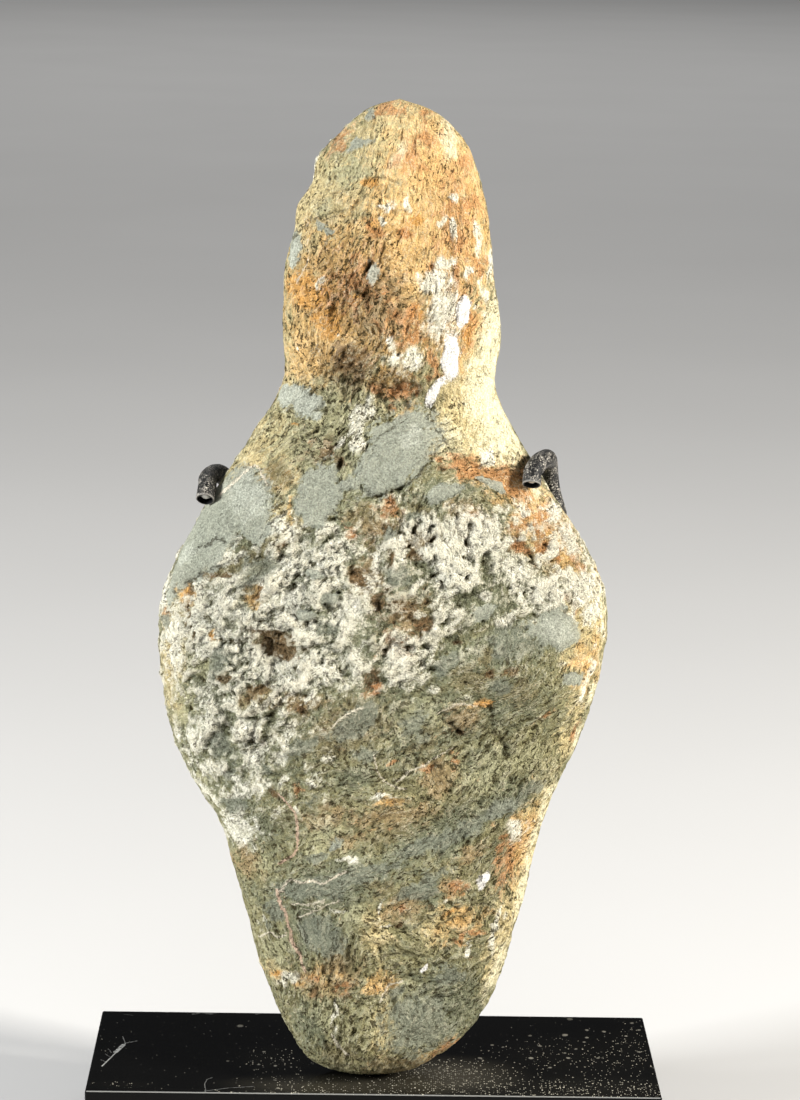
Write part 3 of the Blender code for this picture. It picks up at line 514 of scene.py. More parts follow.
# Cracks on the front: depth, half width, height of the ledge on the left of the line's run, points
cracks = [
    (.7, .30, .0, [(-3, 146), (0, 146.8), (3, 147.9), (5, 148.8), (7.5, 151.5), (8.8, 153)]),
    (.5, .25, .0, [(-2.5, 159.5), (0, 160.5), (2, 162), (3.8, 163)]),
    (.5, .25, .0, [(10.3, 166), (11, 163), (12, 161), (14, 158.5), (15.5, 156)]),
    (.6, .30, .0, [(-21, 156), (-19, 158.5), (-17, 160.2), (-15, 161)]),
    (.5, .25, .0, [(-9.5, 171), (-7, 172), (-4.5, 172.2), (-2.5, 173)]),
    (.5, .25, .0, [(-26.5, 139), (-25, 140.5), (-23, 142)]),
    (.6, .30, .3, [(-45, 124.5), (-42, 126.5), (-39, 128), (-36, 129.5), (-33, 131.5)]),
    (1.0, .50, .0, [(-41.4, 132.8), (-40.2, 133.4), (-39.2, 134.5), (-38.2, 134.4)]),
    (.4, .22, .0, [(-30, 126), (-28, 129), (-26.5, 131.5), (-25.5, 134), (-24.3, 137)]),
    (.4, .22, .0, [(-32, 133), (-29.5, 134.5), (-27.8, 137), (-26.8, 139)]),
    (.9, .45, .5, [(-30.5, 87.5), (-29.8, 90), (-29.3, 92.2), (-27, 93.4), (-25.4, 94.6), (-24, 96.8),
                   (-22.4, 98.6), (-20.5, 99.6), (-18.5, 99.4)]),
    (.6, .35, .0, [(-31, 97), (-29.5, 99.5), (-27, 101.5), (-24.5, 102.5)]),
    (.5, .25, .0, [(15.5, 123), (18, 122.9), (20.5, 123.5), (23, 124.4)]),
    (.5, .25, .3, [(14, 119), (17, 120.8), (20, 122), (22.5, 122.6)]),
    (.8, .40, .0, [(15.5, 93), (17, 92.2), (18, 90.6), (19.8, 89.9), (21, 89.9)]),
    (.5, .28, .0, [(21.4, 90.8), (21.6, 92.4), (23, 93.2), (23.8, 92.2)]),
    (.7, .32, .4, [(26, 96), (26.4, 93.5), (26.9, 90.5), (28, 89.2), (29.2, 87.6), (29.8, 85.6)]),
    (.7, .25, .3, [(34.5, 90.8), (36.5, 92.6), (38.5, 94), (40.5, 95.4), (42, 96.6)]),
    (.7, .35, .3, [(15.5, 42.3), (17.5, 43.2), (20.2, 44), (21.8, 45.4), (23, 46.9), (24.8, 47)]),
    (.5, .28, .0, [(3, 34.8), (5, 35.2), (7.5, 35.3), (9.6, 34.8)]),
    (.4, .25, .0, [(-3, 30), (-1, 31.4), (.6, 32.4)]),
    (.5, .28, .0, [(15, 24.8), (17, 25.2), (19.5, 25.5), (22, 24.2)]),
    (.4, .25, .0, [(15, 23.3), (17.5, 23.4), (20, 22.6)]),
    (.4, .25, .0, [(5.8, 32), (7.8, 31.2), (8.4, 29.6)]),
    (.4, .25, .0, [(33, 141.2), (34.3, 138.5), (36, 136.8), (37.8, 134.6)]),
    (.5, .28, .0, [(18.5, 155), (21, 153.2), (23.5, 151.8), (26, 151.5), (29, 152.2)]),
    (.6, .3, .35, [(-21, 205.5), (-18, 209), (-13, 211.4), (-8, 213.2), (-6.6, 216.5), (-5.6, 218.6),
                   (-2, 219.4), (2, 218.2)]),
    (.4, .25, .0, [(-.2, 68.6), (3, 69.8), (6, 69.7), (9, 70.6)]),
    (.35, .22, .0, [(5, 80.3), (7.2, 80.6), (8.6, 78.8), (8.8, 76.6)]),
    (.35, .22, .0, [(9.2, 76), (10.4, 76.8), (11.2, 75.6), (11, 74)]),
    (.35, .22, .0, [(-8, 79.5), (-5, 81.5), (-2.6, 79), (-1, 76.5)]),
    (.35, .22, .0, [(-2.6, 84.5), (-.6, 82), (1.6, 80), (3.5, 77.6)]),
    (.35, .22, .0, [(17, 77), (18.2, 79), (19.4, 81), (20.2, 83.6)]),
    (.4, .22, .0, [(27.8, 64), (28.4, 67), (29.8, 69.4), (32, 71)]),
    (.35, .22, .0, [(25, 57), (24.6, 53.5), (26.2, 50)]),
]

# Thin veins on the front: half width, share of pink in the cream, points
veins = [
    (.34, 1.0, [(-22.8, 73.4), (-21.4, 71.8), (-20, 70.2), (-19.5, 67), (-19.4, 63), (-19.6, 60.2),
                (-21, 58.4), (-22.4, 57.4)]),
    (.38, 1.0, [(-23.6, 48.6), (-23, 46), (-22, 43.8), (-21.6, 41.4)]),
    (.38, 1.0, [(-20.8, 39.2), (-20.4, 37), (-19.2, 35), (-18.2, 33), (-17.4, 30.8)]),
    (.3, .2, [(-22.5, 50.6), (-21, 52.6), (-18, 52.4), (-15.5, 53), (-13, 52.6), (-11, 53.8), (-9, 55)]),
    (.26, .1, [(-17.5, 44), (-15, 45.2), (-12.8, 46.6), (-10.6, 47.6)]),
    (.26, .1, [(-19, 46.8), (-16, 47), (-13.6, 48)]),
    (.26, .1, [(-27.4, 36.8), (-25.6, 38.2), (-23.6, 37.2), (-22.4, 37.8)]),
    (.3, .1, [(1.6, 24), (2.2, 25.4), (3.4, 26.8), (5, 27.4)]),
    (.3, .1, [(-9.6, 12.4), (-8.6, 10.6), (-7.4, 9.2)]),
    (.26, .1, [(5, 79), (7, 81.2), (10, 82.4), (13, 84.4), (16, 86)]),
    (.26, .2, [(-37.6, 144.8), (-33.8, 148.6), (-30, 151.6), (-28.2, 149)]),
    (.26, .2, [(-20.4, 196), (-18.8, 199.2)]),
    (.7, .0, [(-31, 93.8), (-28.6, 94.8), (-27, 96.6), (-25, 98.8), (-22.6, 100.9), (-20, 102.3),
              (-17.7, 103)]),
    (.22, .1, [(4.8, 77), (2, 78), (-.4, 80.6), (-1.2, 83.6)]),
    (.22, .1, [(-10.5, 92.6), (-8.5, 94.6), (-5.6, 96)]),
    (.22, .2, [(14.6, 96), (18, 97.8), (21, 97.4)]),
]

# Where the white crust lies, and how rough, streaked and pitted the surface is, in broad patches
# with soft edges: sideways, up, half width, half height, turn in degrees, amount
broad = {
    "crust": [
        (-20, 119, 34, 18, 12, 1), (12, 130, 34, 15, -5, .8), (-36, 92, 18, 26, 20, .8),
        (2, 108, 12, 12, 0, .7), (28, 108, 18, 12, 20, .22), (44, 124, 12, 18, 15, .7),
        (12, 190, 5, 10, 0, .6), (3, 178, 6, 5, 0, .3), (20, 136, 14, 7, 0, .7), (0, 127, 14, 12, 0, -.42)],
    "streaks": [
        (-10, 195, 12, 26, -10, 1), (-15, 158, 14, 12, 0, .8), (-32, 128, 14, 8, 30, .6),
        (16, 205, 10, 20, 0, .4), (8, 75, 34, 26, 10, .25), (28, 50, 10, 26, -10, .5),
        (-12, 170, 9, 8, 0, .7), (30, 152, 10, 4, -15, .5)],
    "pits": [
        (8, 84, 26, 20, 0, 1), (28, 90, 16, 22, 0, 1), (10, 40, 24, 20, 0, .7), (5, 66, 26, 10, 10, .9),
        (-8, 160, 16, 14, 20, .8), (0, 198, 18, 16, 0, .25), (0, 20, 30, 18, 0, .9),
        (-14, 50, 14, 18, 0, .6), (-14, 208, 10, 12, 0, .5), (10, 142, 18, 8, 0, 1)],
    "calm": [
        (2, 224, 24, 14, 0, .9), (-18, 182, 8, 14, 0, .6), (-16, 208, 10, 10, 0, .6),
        (14, 208, 12, 14, 0, .5), (0, 70, 40, 16, 10, .55), (-14, 55, 16, 14, 0, .6),
        (10, 50, 24, 16, 0, .4), (24, 168, 9, 16, 0, .9), (-24, 157, 8, 6, 40, .5),
        (8, 18, 14, 14, 0, .4), (44, 112, 10, 12, 0, .4), (-40, 60, 14, 30, 0, .5)],
}

# Each region's own run of layers: sideways, up, spread, direction of the layers in degrees
layering = [
    (-12, 200, 16, 52), (14, 205, 14, 84), (-10, 172, 14, 48), (20, 172, 12, 95), (0, 155, 14, 42),
    (-34, 135, 14, 48), (28, 146, 12, -28), (-30, 110, 18, 30), (0, 120, 18, 15), (40, 115, 14, 70),
    (-12, 88, 16, 25), (14, 84, 14, 40), (38, 80, 12, 62), (-18, 58, 14, 30), (10, 58, 14, 26),
    (32, 48, 10, 78), (-14, 25, 14, 70), (12, 25, 14, 40),
]


def endRounding(level):
    # A quarter circle's fall to 0 over the last few hundredths at the foot and at the crown
    foot = np.clip(1 - level / stone["footRounding"], 0, 1)
    crown = np.clip(1 - (100 - level) / stone["crownRounding"], 0, 1)
    return np.sqrt(1 - foot**2) * np.sqrt(1 - crown**2)


def turnedPlace(row, x, z):
    # A place across and up a patch, in its own half widths and half heights
    c, s = cos(radians(row[4])), sin(radians(row[4]))
    return (c * (x - row[0]) + s * (z - row[1])) / row[2], (c * (z - row[1]) - s * (x - row[0])) / row[3]


def reliefAt(marks, x, z):
    # Each mark adds its height times a bell curve of its own distance
    total = np.zeros_like(x)
    for row in marks:
        across, up = turnedPlace(row, x, z)
        total += row[5] * np.exp(-across**2 - up**2)
    return total


def patchAt(rows, x, z):
    # A patch's strength less the distance from its middle in its own half sizes, but never under -1;
    # the greatest counts
    best = np.full_like(x, -1.0)
    for row in rows:
        across, up = turnedPlace(row, x, z)
        best = np.maximum(best, row[5] - np.hypot(across, up))
    return best


def lumpsAt(points):
    # Sine waves in fixed random directions, the longer the higher
    random = np.random.default_rng(stone["lumpSeed"])
    total = np.zeros(points.shape[:-1])
    for _ in range(stone["lumpWaves"]):
        direction = random.normal(size=3)
        direction /= np.linalg.norm(direction)
        length = random.uniform(stone["shortestLump"], stone["longestLump"])
        phase = random.uniform(0, 2 * pi)
        total += length * np.sin(points @ direction * 2 * pi / length + phase)
    return total * stone["lumpHeight"] / (stone["longestLump"] * np.sqrt(stone["lumpWaves"] / 2))


halfScale = np.array([stone["width"] / 2, stone["height"]]) / 100
rightLine, leftLine = (flowingLine(np.array(stone[name]) * halfScale, stone["outlineSteps"])
                       for name in ("rightSide", "leftSide"))
frontLine, backLine = (flowingLine(stone[name], stone["outlineSteps"])
                       for name in ("frontProfile", "backProfile"))
outlineShare = np.linspace(0, 1, stone["outlineSteps"])


def formAt(along, around):
    # Each ring joins the right and left outlines at the same share of their length, and swells
    # forwards and backwards from the middle plane, a little fuller than an ellipse
    rightX, rightZ = (np.interp(along, outlineShare, axis) for axis in rightLine.T)
    leftX, leftZ = (np.interp(along, outlineShare, axis) for axis in leftLine.T)
    sideways = np.sign(np.cos(around)) * np.abs(np.cos(around)) ** stone["power"]
    forwards = np.sign(np.sin(around)) * np.abs(np.sin(around)) ** stone["power"]
    level = 100 * (leftZ + rightZ) / 2 / stone["height"]
    front = stone["frontReach"] * np.interp(level, *frontLine.T) / 100
    back = stone["backReach"] * np.interp(level, *backLine.T) / 100
    reach = np.where(forwards > 0, front, back) * endRounding(level)
    x = (leftX + rightX) / 2 + (rightX - leftX) / 2 * sideways
    z = (leftZ + rightZ) / 2 + (rightZ - leftZ) / 2 * sideways
    return np.stack([x, -reach * forwards, z], axis=-1)


def carvedAt(along, around):
    # The form with the broad carving and lumps, pushed out forwards and a little sideways
    form = formAt(along, around)
    x, z = form[..., 0], form[..., 2]
    facing = np.sin(around)
    relief = reliefAt(stone["frontRelief"], x, z) * np.clip(facing * stone["fadeAtSides"], 0, 1)
    relief += reliefAt(stone["backRelief"], x, z) * np.clip(-facing * stone["fadeAtSides"], 0, 1)
    relief += lumpsAt(form) * (stone["lumpsAtOutline"] + (1 - stone["lumpsAtOutline"]) * np.abs(facing))
    out = np.stack([stone["pushSideways"] * np.cos(around), -facing, np.zeros_like(around)], axis=-1)
    out /= np.linalg.norm(out, axis=-1, keepdims=True)
    level = np.clip(100 * z / stone["height"], 0, 100)
    return form, form + out * (relief * endRounding(level))[..., None]


def stoodOnBase(points):
    # Leaned back by the stone's lean and lifted to stand on the base, in millimetres
    c, s = cos(stone["lean"]), sin(stone["lean"])
    y, z = points[..., 1], points[..., 2]
    return np.stack([points[..., 0], y * c + z * s + stone["footY"], z * c - y * s + stone["rise"]], -1)


def ringAngles():
    # Angles that space the points evenly round a ring at the shoulders, closer on the front
    def spaced(start, end, count):
        # Even steps along the run from one angle to the other
        fine = np.linspace(start, end, stone["ringSteps"])
        run = travelled(formAt(np.full(stone["ringSteps"], stone["evenAt"]), fine))
        return np.interp(np.linspace(0, run[-1], count, endpoint=False), run, fine)
    return np.concatenate([spaced(0, pi, stone["frontSides"]), spaced(pi, 2 * pi, stone["backSides"])])


def outwardOf(points):
    # The cross product of the way up and the way round at each point of a grid of closed rings, each of
    # which runs from the right over the front to the left
    round_ = np.roll(points, -1, 1) - np.roll(points, 1, 1)
    up = np.gradient(points, axis=0)
    normal = np.cross(up, round_)
    return normal / np.maximum(np.linalg.norm(normal, axis=-1, keepdims=True), 1e-9)


def strokesAt(rows, x, z, extra):
    # For each place, its distance in millimetres from the nearest stroke, the same with a sign for
    # its side of the stroke, and the stroke's own numbers
    distance = np.full_like(x, fineForm["farAway"])
    signed, own = np.zeros_like(x), [np.zeros_like(x) for _ in range(extra)]
    for *numbers, points in rows:
        line = flowingLine(points, 3 * ceil(travelled(np.array(points))[-1]) + 2)
        run = np.gradient(line, axis=0)
        side = np.stack([-run[:, 1], run[:, 0]], -1) / np.linalg.norm(run, axis=1)[:, None]
        low, high = line.min(0) - fineForm["strokeMargin"], line.max(0) + fineForm["strokeMargin"]
        close = (x > low[0]) & (x < high[0]) & (z > low[1]) & (z < high[1])
        away = np.stack([x[close], z[close]], -1)[:, None] - line
        size = np.linalg.norm(away, axis=-1)
        nearest = size.argmin(1)
        pick = np.arange(len(nearest))
        better = size[pick, nearest] < distance[close]
        index = np.flatnonzero(close.ravel())[better]
        distance.ravel()[index] = size[pick, nearest][better]
        signed.ravel()[index] = np.sum(away[pick, nearest] * side[nearest], -1)[better]
        for store, number in zip(own, numbers):
            store.ravel()[index] = number
    return distance, signed, own


def layersAt(x, z):
    # Places across and along the layers: each region's own turned axes, blended by nearness and
    # shifted so that neighbouring regions agree halfway between their middles
    rows = np.array(layering, float)
    turn = np.radians(rows[:, 3])
    axes = np.stack([[-np.sin(turn), np.cos(turn)], [np.cos(turn), np.sin(turn)]])

    def readings(place):
        # How far a place lies across and along each region's axes
        away = place[:, None] - rows[:, :2].T.reshape(2, -1, *[1] * (place.ndim - 1))
        return np.einsum("kdi,di...->ki...", axes, away)

    first, second = np.triu_indices(len(rows), 1)
    gap = np.linalg.norm(rows[first, :2] - rows[second, :2], axis=1)
    trust = np.exp(-(gap / stone["layersAgreeWithin"]) ** 2)
    halfway = readings((rows[first, :2] + rows[second, :2]).T / 2)
    pairs = np.zeros((len(first), len(rows)))
    index = np.arange(len(first))
    pairs[index, first], pairs[index, second] = 1, -1
    weights = np.exp(-((x - rows[:, 0, None, None]) ** 2 + (z - rows[:, 1, None, None]) ** 2)
                     / rows[:, 2, None, None] ** 2) + 1e-6
    weights /= weights.sum(axis=0)
    result = []
    for k, values in enumerate(readings(np.stack([x, z]))):
        disagreement = halfway[k, second, index] - halfway[k, first, index]
        shift = np.linalg.lstsq(pairs * trust[:, None], disagreement * trust, rcond=None)[0]
        result.append(np.sum(weights * (values + shift[:, None, None]), axis=0))
    return result


def smoothed(values, times):
    # Each value becomes the mean of itself and its four neighbours, again and again
    for _ in range(times):
        values = (values + sum(np.roll(values, step, axis) for step in (-1, 1) for axis in (0, 1))) / 5
    return values


# The noises that break up the surface: size in millimetres, seed, octaves, roughness
noises = {
    "broad": (46, 3, 2), "bend": (14, 60, 2), "sway": (5.0, 40, 4, 0.6), "edge": (2.6, 100, 3, 0.65),
    "crustCoarse": (7.0, 81, 3, 0.6), "crustSmall": (2.8, 87, 3, 0.6), "crustGrit": (3.2, 82, 3, 0.65),
    "crustSpread": (13, 83, 2), "crustSwell": (9, 12, 2), "swell": (4.5, 11, 4, 0.6),
    "web": (1.0, 21, 3, 0.6), "net": (1.0, 31, 3, 0.6), "pits": (1.0, 35, 2, 0.55),
}

# The white crust, drawn out along a slope: billows on the left give way to threads on the right. It
# lies where a sum is about 0 or over: its shares of the broad amount, the grain and slow noise, less
# the rest
crustForm = {
    "slope": radians(28), "stretch": 1.7, "sway": 4, "changes": (-14, 4),
    "billows": (0.9, 1.0, -0.36), "threads": (-1.1, -0.9, 0.34), "grit": 0.35,
    "amount": 0.75, "grain": 1.5, "spread": 0.7, "less": 0.53, "lessRight": 0.34, "lessColored": 0.7,
    "lessGreen": 0.2, "lessGreenRight": 0.35, "lessUmber": 0.8, "lessOutside": 0.5,
    "coloredFrom": {"umber": -0.15, "rust": -0.15, "ochre": -0.15, "moss": -0.15, "olive": 0.2},
}

# The fine relief. First how high each part is, in millimetres to the unit of its noise or mask, then
# the cells of the web, the net and the pits across, along and inwards of the layers. The rest is in
# millimetres, but the taper at the ends, in hundredths of the height, and the times of smoothing
fineForm = {
    "swell": 0.5, "crustSwell": 1.0, "crust": 3.0, "crustLessRight": 0.4, "chalk": 0.35, "umber": 0.5,
    "rust": 0.3, "olive": 0.20, "web": 3.0, "net": 2.7, "pits": 1.2, "crustPits": 0.6, "slate": 0.45,
    "pebble": 0.30, "rim": 0.3, "crack": 0.6, "vein": 0.12,
    "webCell": (2.6, 6.5, 4), "netCell": (2.7, 4.2, 3), "pitsCell": (1.6, 2.8, 2),
    "bend": 3.2, "strokeFades": (1.2, 2.2), "ledgeEdge": 0.5, "ledgeReach": 1.6, "endTaper": 1.6,
    "nearby": 8, "wideAround": 50, "strokeMargin": 6, "farAway": 9.0,
    # kind, where it rises from and to, and its groove's middle and width
    "clasts": [("slate", -0.1, 0.25, 0.06, 0.09), ("pebble", 0, 0.3, 0.02, 0.08)],
}


def noiseAt(name, points, step=0):
    # The noise of that name, with its seed moved on by the step
    size, seed, *rest = noises[name]
    return swell(points, size, seed + step, *rest)


def backRows(rng, name):
    # Patches of one kind strewn over the back, each of random place, size, turn and strength
    large = strewn["widest"].get(name, strewn["widest"]["common"])
    rows = []
    for _ in range(strewn["counts"][name]):
        width, tall = rng.uniform(strewn["smallest"], large, 2)
        across = rng.uniform(-strewn["sideways"], strewn["sideways"])
        up = rng.uniform(strewn["lowest"], strewn["highest"])
        turn = rng.uniform(0, 180)
        rows.append((across, up, width, tall, turn, rng.uniform(strewn["weakest"], strewn["strongest"])))
    return rows


def broadAmounts(points, x, z, front):
    # The sum of the broad patches' bell curves on the front, and slow noise about a half on the back
    amounts = {}
    for name, rows in broad.items():
        onFront = np.clip(reliefAt(rows, x, z), 0, 1)
        onBack = 0.5 + 0.6 * noiseAt("broad", points, len(name))
        amounts[name] = np.clip(front * onFront + (1 - front) * onBack, 0, 1)
    return amounts


def crustGrainAt(points, x, z, sway, rightward):
    # Two sizes of folded noise on turned, stretched and swayed places, with grit
    c, s = cos(crustForm["slope"]), sin(crustForm["slope"])
    drawn = np.stack([(x * c + z * s) / crustForm["stretch"] + crustForm["sway"] * sway[..., 0],
                      z * c - x * s + crustForm["sway"] * sway[..., 1], points[..., 1]], -1)
    coarse, small = (np.abs(noiseAt(name, drawn)) for name in ("crustCoarse", "crustSmall"))
    billows, threads = (wide * coarse + narrow * small + level
                        for wide, narrow, level in (crustForm["billows"], crustForm["threads"]))
    grit = crustForm["grit"] * noiseAt("crustGrit", points)
    return (1 - rightward) * billows + rightward * threads + grit


def patchesAt(points, x, z, sway, front):
    # Listed patches in front, strewn ones behind, with ragged and wandering edges
    rng = np.random.default_rng(strewn["seed"])
    paint = {}
    for k, (name, rows) in enumerate(patches.items()):
        behind = patchAt(backRows(rng, name), x, z)
        stray = wander.get(name, wander["common"])
        onFront = patchAt(rows, x + stray * sway[..., 0], z + stray * sway[..., 1])
        weight = front * onFront + (1 - front) * behind
        paint[name] = weight + ragged.get(name, ragged["common"]) * noiseAt("edge", points, k)
    return paint


def addCrust(paint, points, amounts, crustGrain, rightward, front):
    # The greater of the listed chalk and the crust's own sum; sage keeps to the crust's lows
    colored = np.max([smoothStep(paint[name], low, low + 0.4)
                      for name, low in crustForm["coloredFrom"].items()], axis=0)
    green = smoothStep(paint["sage"], 0, 0.4)
    rise = crustForm["amount"] * amounts["crust"] + crustForm["grain"] * crustGrain
    rise += crustForm["spread"] * noiseAt("crustSpread", points)
    rise -= crustForm["less"] + crustForm["lessRight"] * rightward + crustForm["lessColored"] * colored
    rise -= (crustForm["lessGreen"] + crustForm["lessGreenRight"] * rightward) * green
    rise -= crustForm["lessUmber"] * smoothStep(paint["umber"], 0, 0.3)
    rise -= crustForm["lessOutside"] * front * (1 - smoothStep(amounts["crust"], 0, 0.25))
    paint["chalk"] = np.maximum(paint["chalk"] + (0.15 + 0.5 * amounts["crust"]) * crustGrain, rise)
    paint["sage"] = np.maximum(paint["sage"], amounts["crust"] * 0.6 - 0.3 - 0.9 * crustGrain)


def strokeRelief(cracksNow, veinsNow):
    # Bell-shaped cracks and veins, and ledges that step up at the crack and fade away from it
    side, depth, half, ledge, near = cracksNow
    rise = -fineForm["crack"] * depth * np.exp(-(side / (half * 1.7 + 1e-6)) ** 2) * near
    fades = np.exp(-np.abs(side) / fineForm["ledgeReach"])
    rise += ledge * np.tanh(side / fineForm["ledgeEdge"]) * fades * near
    side, half, near = veinsNow
    return rise + fineForm["vein"] * np.exp(-(side / (half * 1.5 + 1e-6)) ** 2) * near


def fineRelief(points, across, run, amounts, paint, crustGrain, rightward, clasts, front):
    # The height in millimetres of everything finer than the carving, less where clasts lie
    open_ = 1 - 0.8 * clasts
    chalky = smoothStep(paint["chalk"], -0.1, 0.25) * (1 - clasts)
    brown = smoothStep(paint["umber"], -0.1, 0.3) * (1 - clasts)
    fine = fineForm["swell"] * noiseAt("swell", points) * open_
    fine += fineForm["crustSwell"] * amounts["crust"] * noiseAt("crustSwell", points)
    crustHeight = fineForm["crust"] - fineForm["crustLessRight"] * rightward
    fine += crustHeight * amounts["crust"] * open_ * crustGrain
    fine += fineForm["chalk"] * chalky * (0.3 + 0.7 * amounts["crust"])
    fine -= fineForm["umber"] * brown + fineForm["rust"] * smoothStep(paint["rust"], 0, 0.3) * open_
    fine -= fineForm["olive"] * smoothStep(paint["olive"], 0, 0.3) * open_

    # sharp crests with rounded hollows between them, drawn out along the layers, and pits
    def drawnOut(name):
        # The noise of that name in its own cells
        places = (across, run, points[..., 1])
        scaled = [place / size for place, size in zip(places, fineForm[name + "Cell"])]
        return noiseAt(name, np.stack(scaled, -1))

    loose = (1 - 0.75 * amounts["crust"]) * (1 - 0.6 * amounts["calm"])
    web, net = (0.2 - np.abs(drawnOut(name)) for name in ("web", "net"))
    fine += fineForm["web"] * web * (0.3 + 0.65 * amounts["streaks"]) * open_ * loose
    fine += fineForm["net"] * net * (0.35 + 0.5 * amounts["pits"]) * open_ * loose
    pitted = np.clip(drawnOut("pits") - 0.19, 0, 0.4)
    fine -= fineForm["pits"] * pitted * (0.25 + 0.75 * amounts["pits"]) * open_
    fine -= fineForm["crustPits"] * np.clip(-0.16 - crustGrain, 0, 0.5) * amounts["crust"] * open_

    # clasts of the two hardest kinds stand up, with a bell-shaped groove round each
    for name, low, high, middle, width in fineForm["clasts"]:
        fine += fineForm[name] * smoothStep(paint[name], low, high)
        fine -= fineForm["rim"] * np.exp(-((paint[name] + middle) / width) ** 2) * front
    return fine


def buildStone():
    # A grid of rings up the stone, pushed out by the fine relief and closed at the foot and the crown
    along = np.linspace(0, 1, stone["rings"] + 2)[1:-1]
    along, around = np.meshgrid(along, ringAngles(), indexing="ij")
    form, points = carvedAt(along, around)
    x, z = form[..., 0], form[..., 2]
    level = np.clip(100 * z / stone["height"], 0, 100)
    facing = np.sin(around)
    front = smoothStep(facing, -0.25, 0.25)
    print("stone: form and broad relief")

    # broad shares, the layers' own coordinates, and the kinds of stone
    amounts = broadAmounts(points, x, z, front)
    across, run = (place + fineForm["bend"] * noiseAt("bend", points, k)
                   for k, place in enumerate(layersAt(x, z)))
    grain = np.stack([across, run, points[..., 1]], -1)
    sway = np.stack([noiseAt("sway", points, k) for k in range(2)], -1)
    rightward = smoothStep(x, *crustForm["changes"])
    crustGrain = crustGrainAt(points, x, z, sway, rightward)
    paint = patchesAt(points, x, z, sway, front)
    clasts = np.max([hardness * smoothStep(paint[name], -0.05, 0.15) for name, hardness in
                     (("slate", 1), ("pebble", 1), ("bluestone", 0.5))], axis=0)
    addCrust(paint, points, amounts, crustGrain, rightward, front)
    print("stone: patches laid")

    # fine relief, cracks, ledges and veins
    crackAway, crackSide, (crackDepth, crackWidth, ledge) = strokesAt(cracks, x, z, 3)
    veinAway, veinSide, (veinWidth, veinPink) = strokesAt(veins, x, z, 2)
    crackNear, veinNear = ((1 - smoothStep(away, *fineForm["strokeFades"])) * front
                           for away in (crackAway, veinAway))
    fine = fineRelief(points, across, run, amounts, paint, crustGrain, rightward, clasts, front)
    fine += strokeRelief((crackSide, crackDepth, crackWidth, ledge, crackNear),
                         (veinSide, veinWidth, veinNear))
    # how far each point lies below its near and wider surroundings; the material paints dirt and shade from
    # it
    near = smoothed(fine, fineForm["nearby"])
    cavity = 0.55 * (near - fine) + 0.55 * (smoothed(near, fineForm["wideAround"]) - fine)
    edge = 0.38 + 0.62 * np.abs(facing) ** 0.5
    taper = np.clip(np.minimum(level, 100 - level) / fineForm["endTaper"], 0, 1)
    points = points + outwardOf(points) * (fine * edge * taper)[..., None]
    print("stone: fine relief")

    # leaned back, stood on the base, and closed at the foot and the crown
    ends = formAt(np.array([0.0, 1.0]), np.zeros(2))
    points = stoodOnBase(np.concatenate([points.reshape(-1, 3), ends]))
    points[:, 2] = np.maximum(points[:, 2], stone["lowest"])
    rows, columns = around.shape
    piece = addMesh("weathered_figure", points * mm, closedFaces(rows, columns, turned=True))

    def store(name, values, kind="FLOAT"):
        # The two end points take the mean of the ring beside them
        flat = values.reshape(rows * columns, -1)
        ends = [flat[:columns].mean(0, keepdims=True), flat[-columns:].mean(0, keepdims=True)]
        storeValues(piece, name, np.concatenate([flat, *ends]), kind)

    for name, values in {**paint, **amounts}.items():
        store(name, values)
    store("cavity", np.clip(cavity, -1, 1.5))
    store("grain", grain, "FLOAT_VECTOR")
    store("crackSide", crackSide)
    store("crackWidth", crackWidth * crackNear)
    store("veinSide", veinSide)
    store("veinWidth", veinWidth * veinNear)
    store("veinPink", veinPink)
    return piece


# Colours of the stone's kinds, darker and lighter
kinds = {
    "khaki": ((98, 93, 61), (154, 148, 109)),
    "sage": ((76, 79, 60), (127, 130, 104)),
    "cream": ((162, 143, 97), (214, 196, 147)),
    "amber": ((150, 110, 60), (207, 168, 107)),
    "tan": ((116, 96, 65), (168, 146, 106)),
    "moss": ((130, 129, 97), (180, 176, 138)),
    "olive": ((88, 80, 53), (136, 126, 91)),
    "ochre": ((184, 138, 78), (227, 191, 130)),
    "gold": ((166, 114, 50), (207, 155, 84)),
    "bone": ((184, 173, 134), (226, 218, 186)),
    "umber": ((74, 55, 34), (122, 92, 60)),
    "rust": ((142, 92, 54), (194, 139, 90)),
    "chalk": ((150, 146, 118), (250, 246, 229)),
    "slate": ((107, 109, 98), (149, 152, 136)),
    "paleSlate": ((128, 130, 117), (170, 172, 157)),
    "bluestone": ((82, 85, 73), (126, 129, 112)),
    "pebble": ((190, 186, 178), (236, 233, 227)),
}

# How far noise moves the edge of each kind, how soft that edge is, and how much of what lies below
# the kind hides
edges = {
    "sage": (1.6, 0.45, 0.9), "cream": (1.6, 0.5, 0.9), "amber": (1.6, 0.5, 0.85),
    "tan": (1.5, 0.35, 0.85), "moss": (1.5, 0.35, 0.75), "olive": (1.6, 0.3, 0.8),
    "ochre": (1.8, 0.4, 0.75), "gold": (1.7, 0.35, 0.85), "bone": (1.6, 0.55, 0.9),
    "umber": (2.2, 0.5, 0.78), "rust": (2.3, 0.5, 0.72), "chalk": (1.3, 0.44, 0.88),
    "slate": (0.9, 0.16, 0.94), "paleSlate": (1.2, 0.3, 0.9), "bluestone": (1.5, 0.34, 0.85),
    "pebble": (0.7, 0.16, 0.95),
}
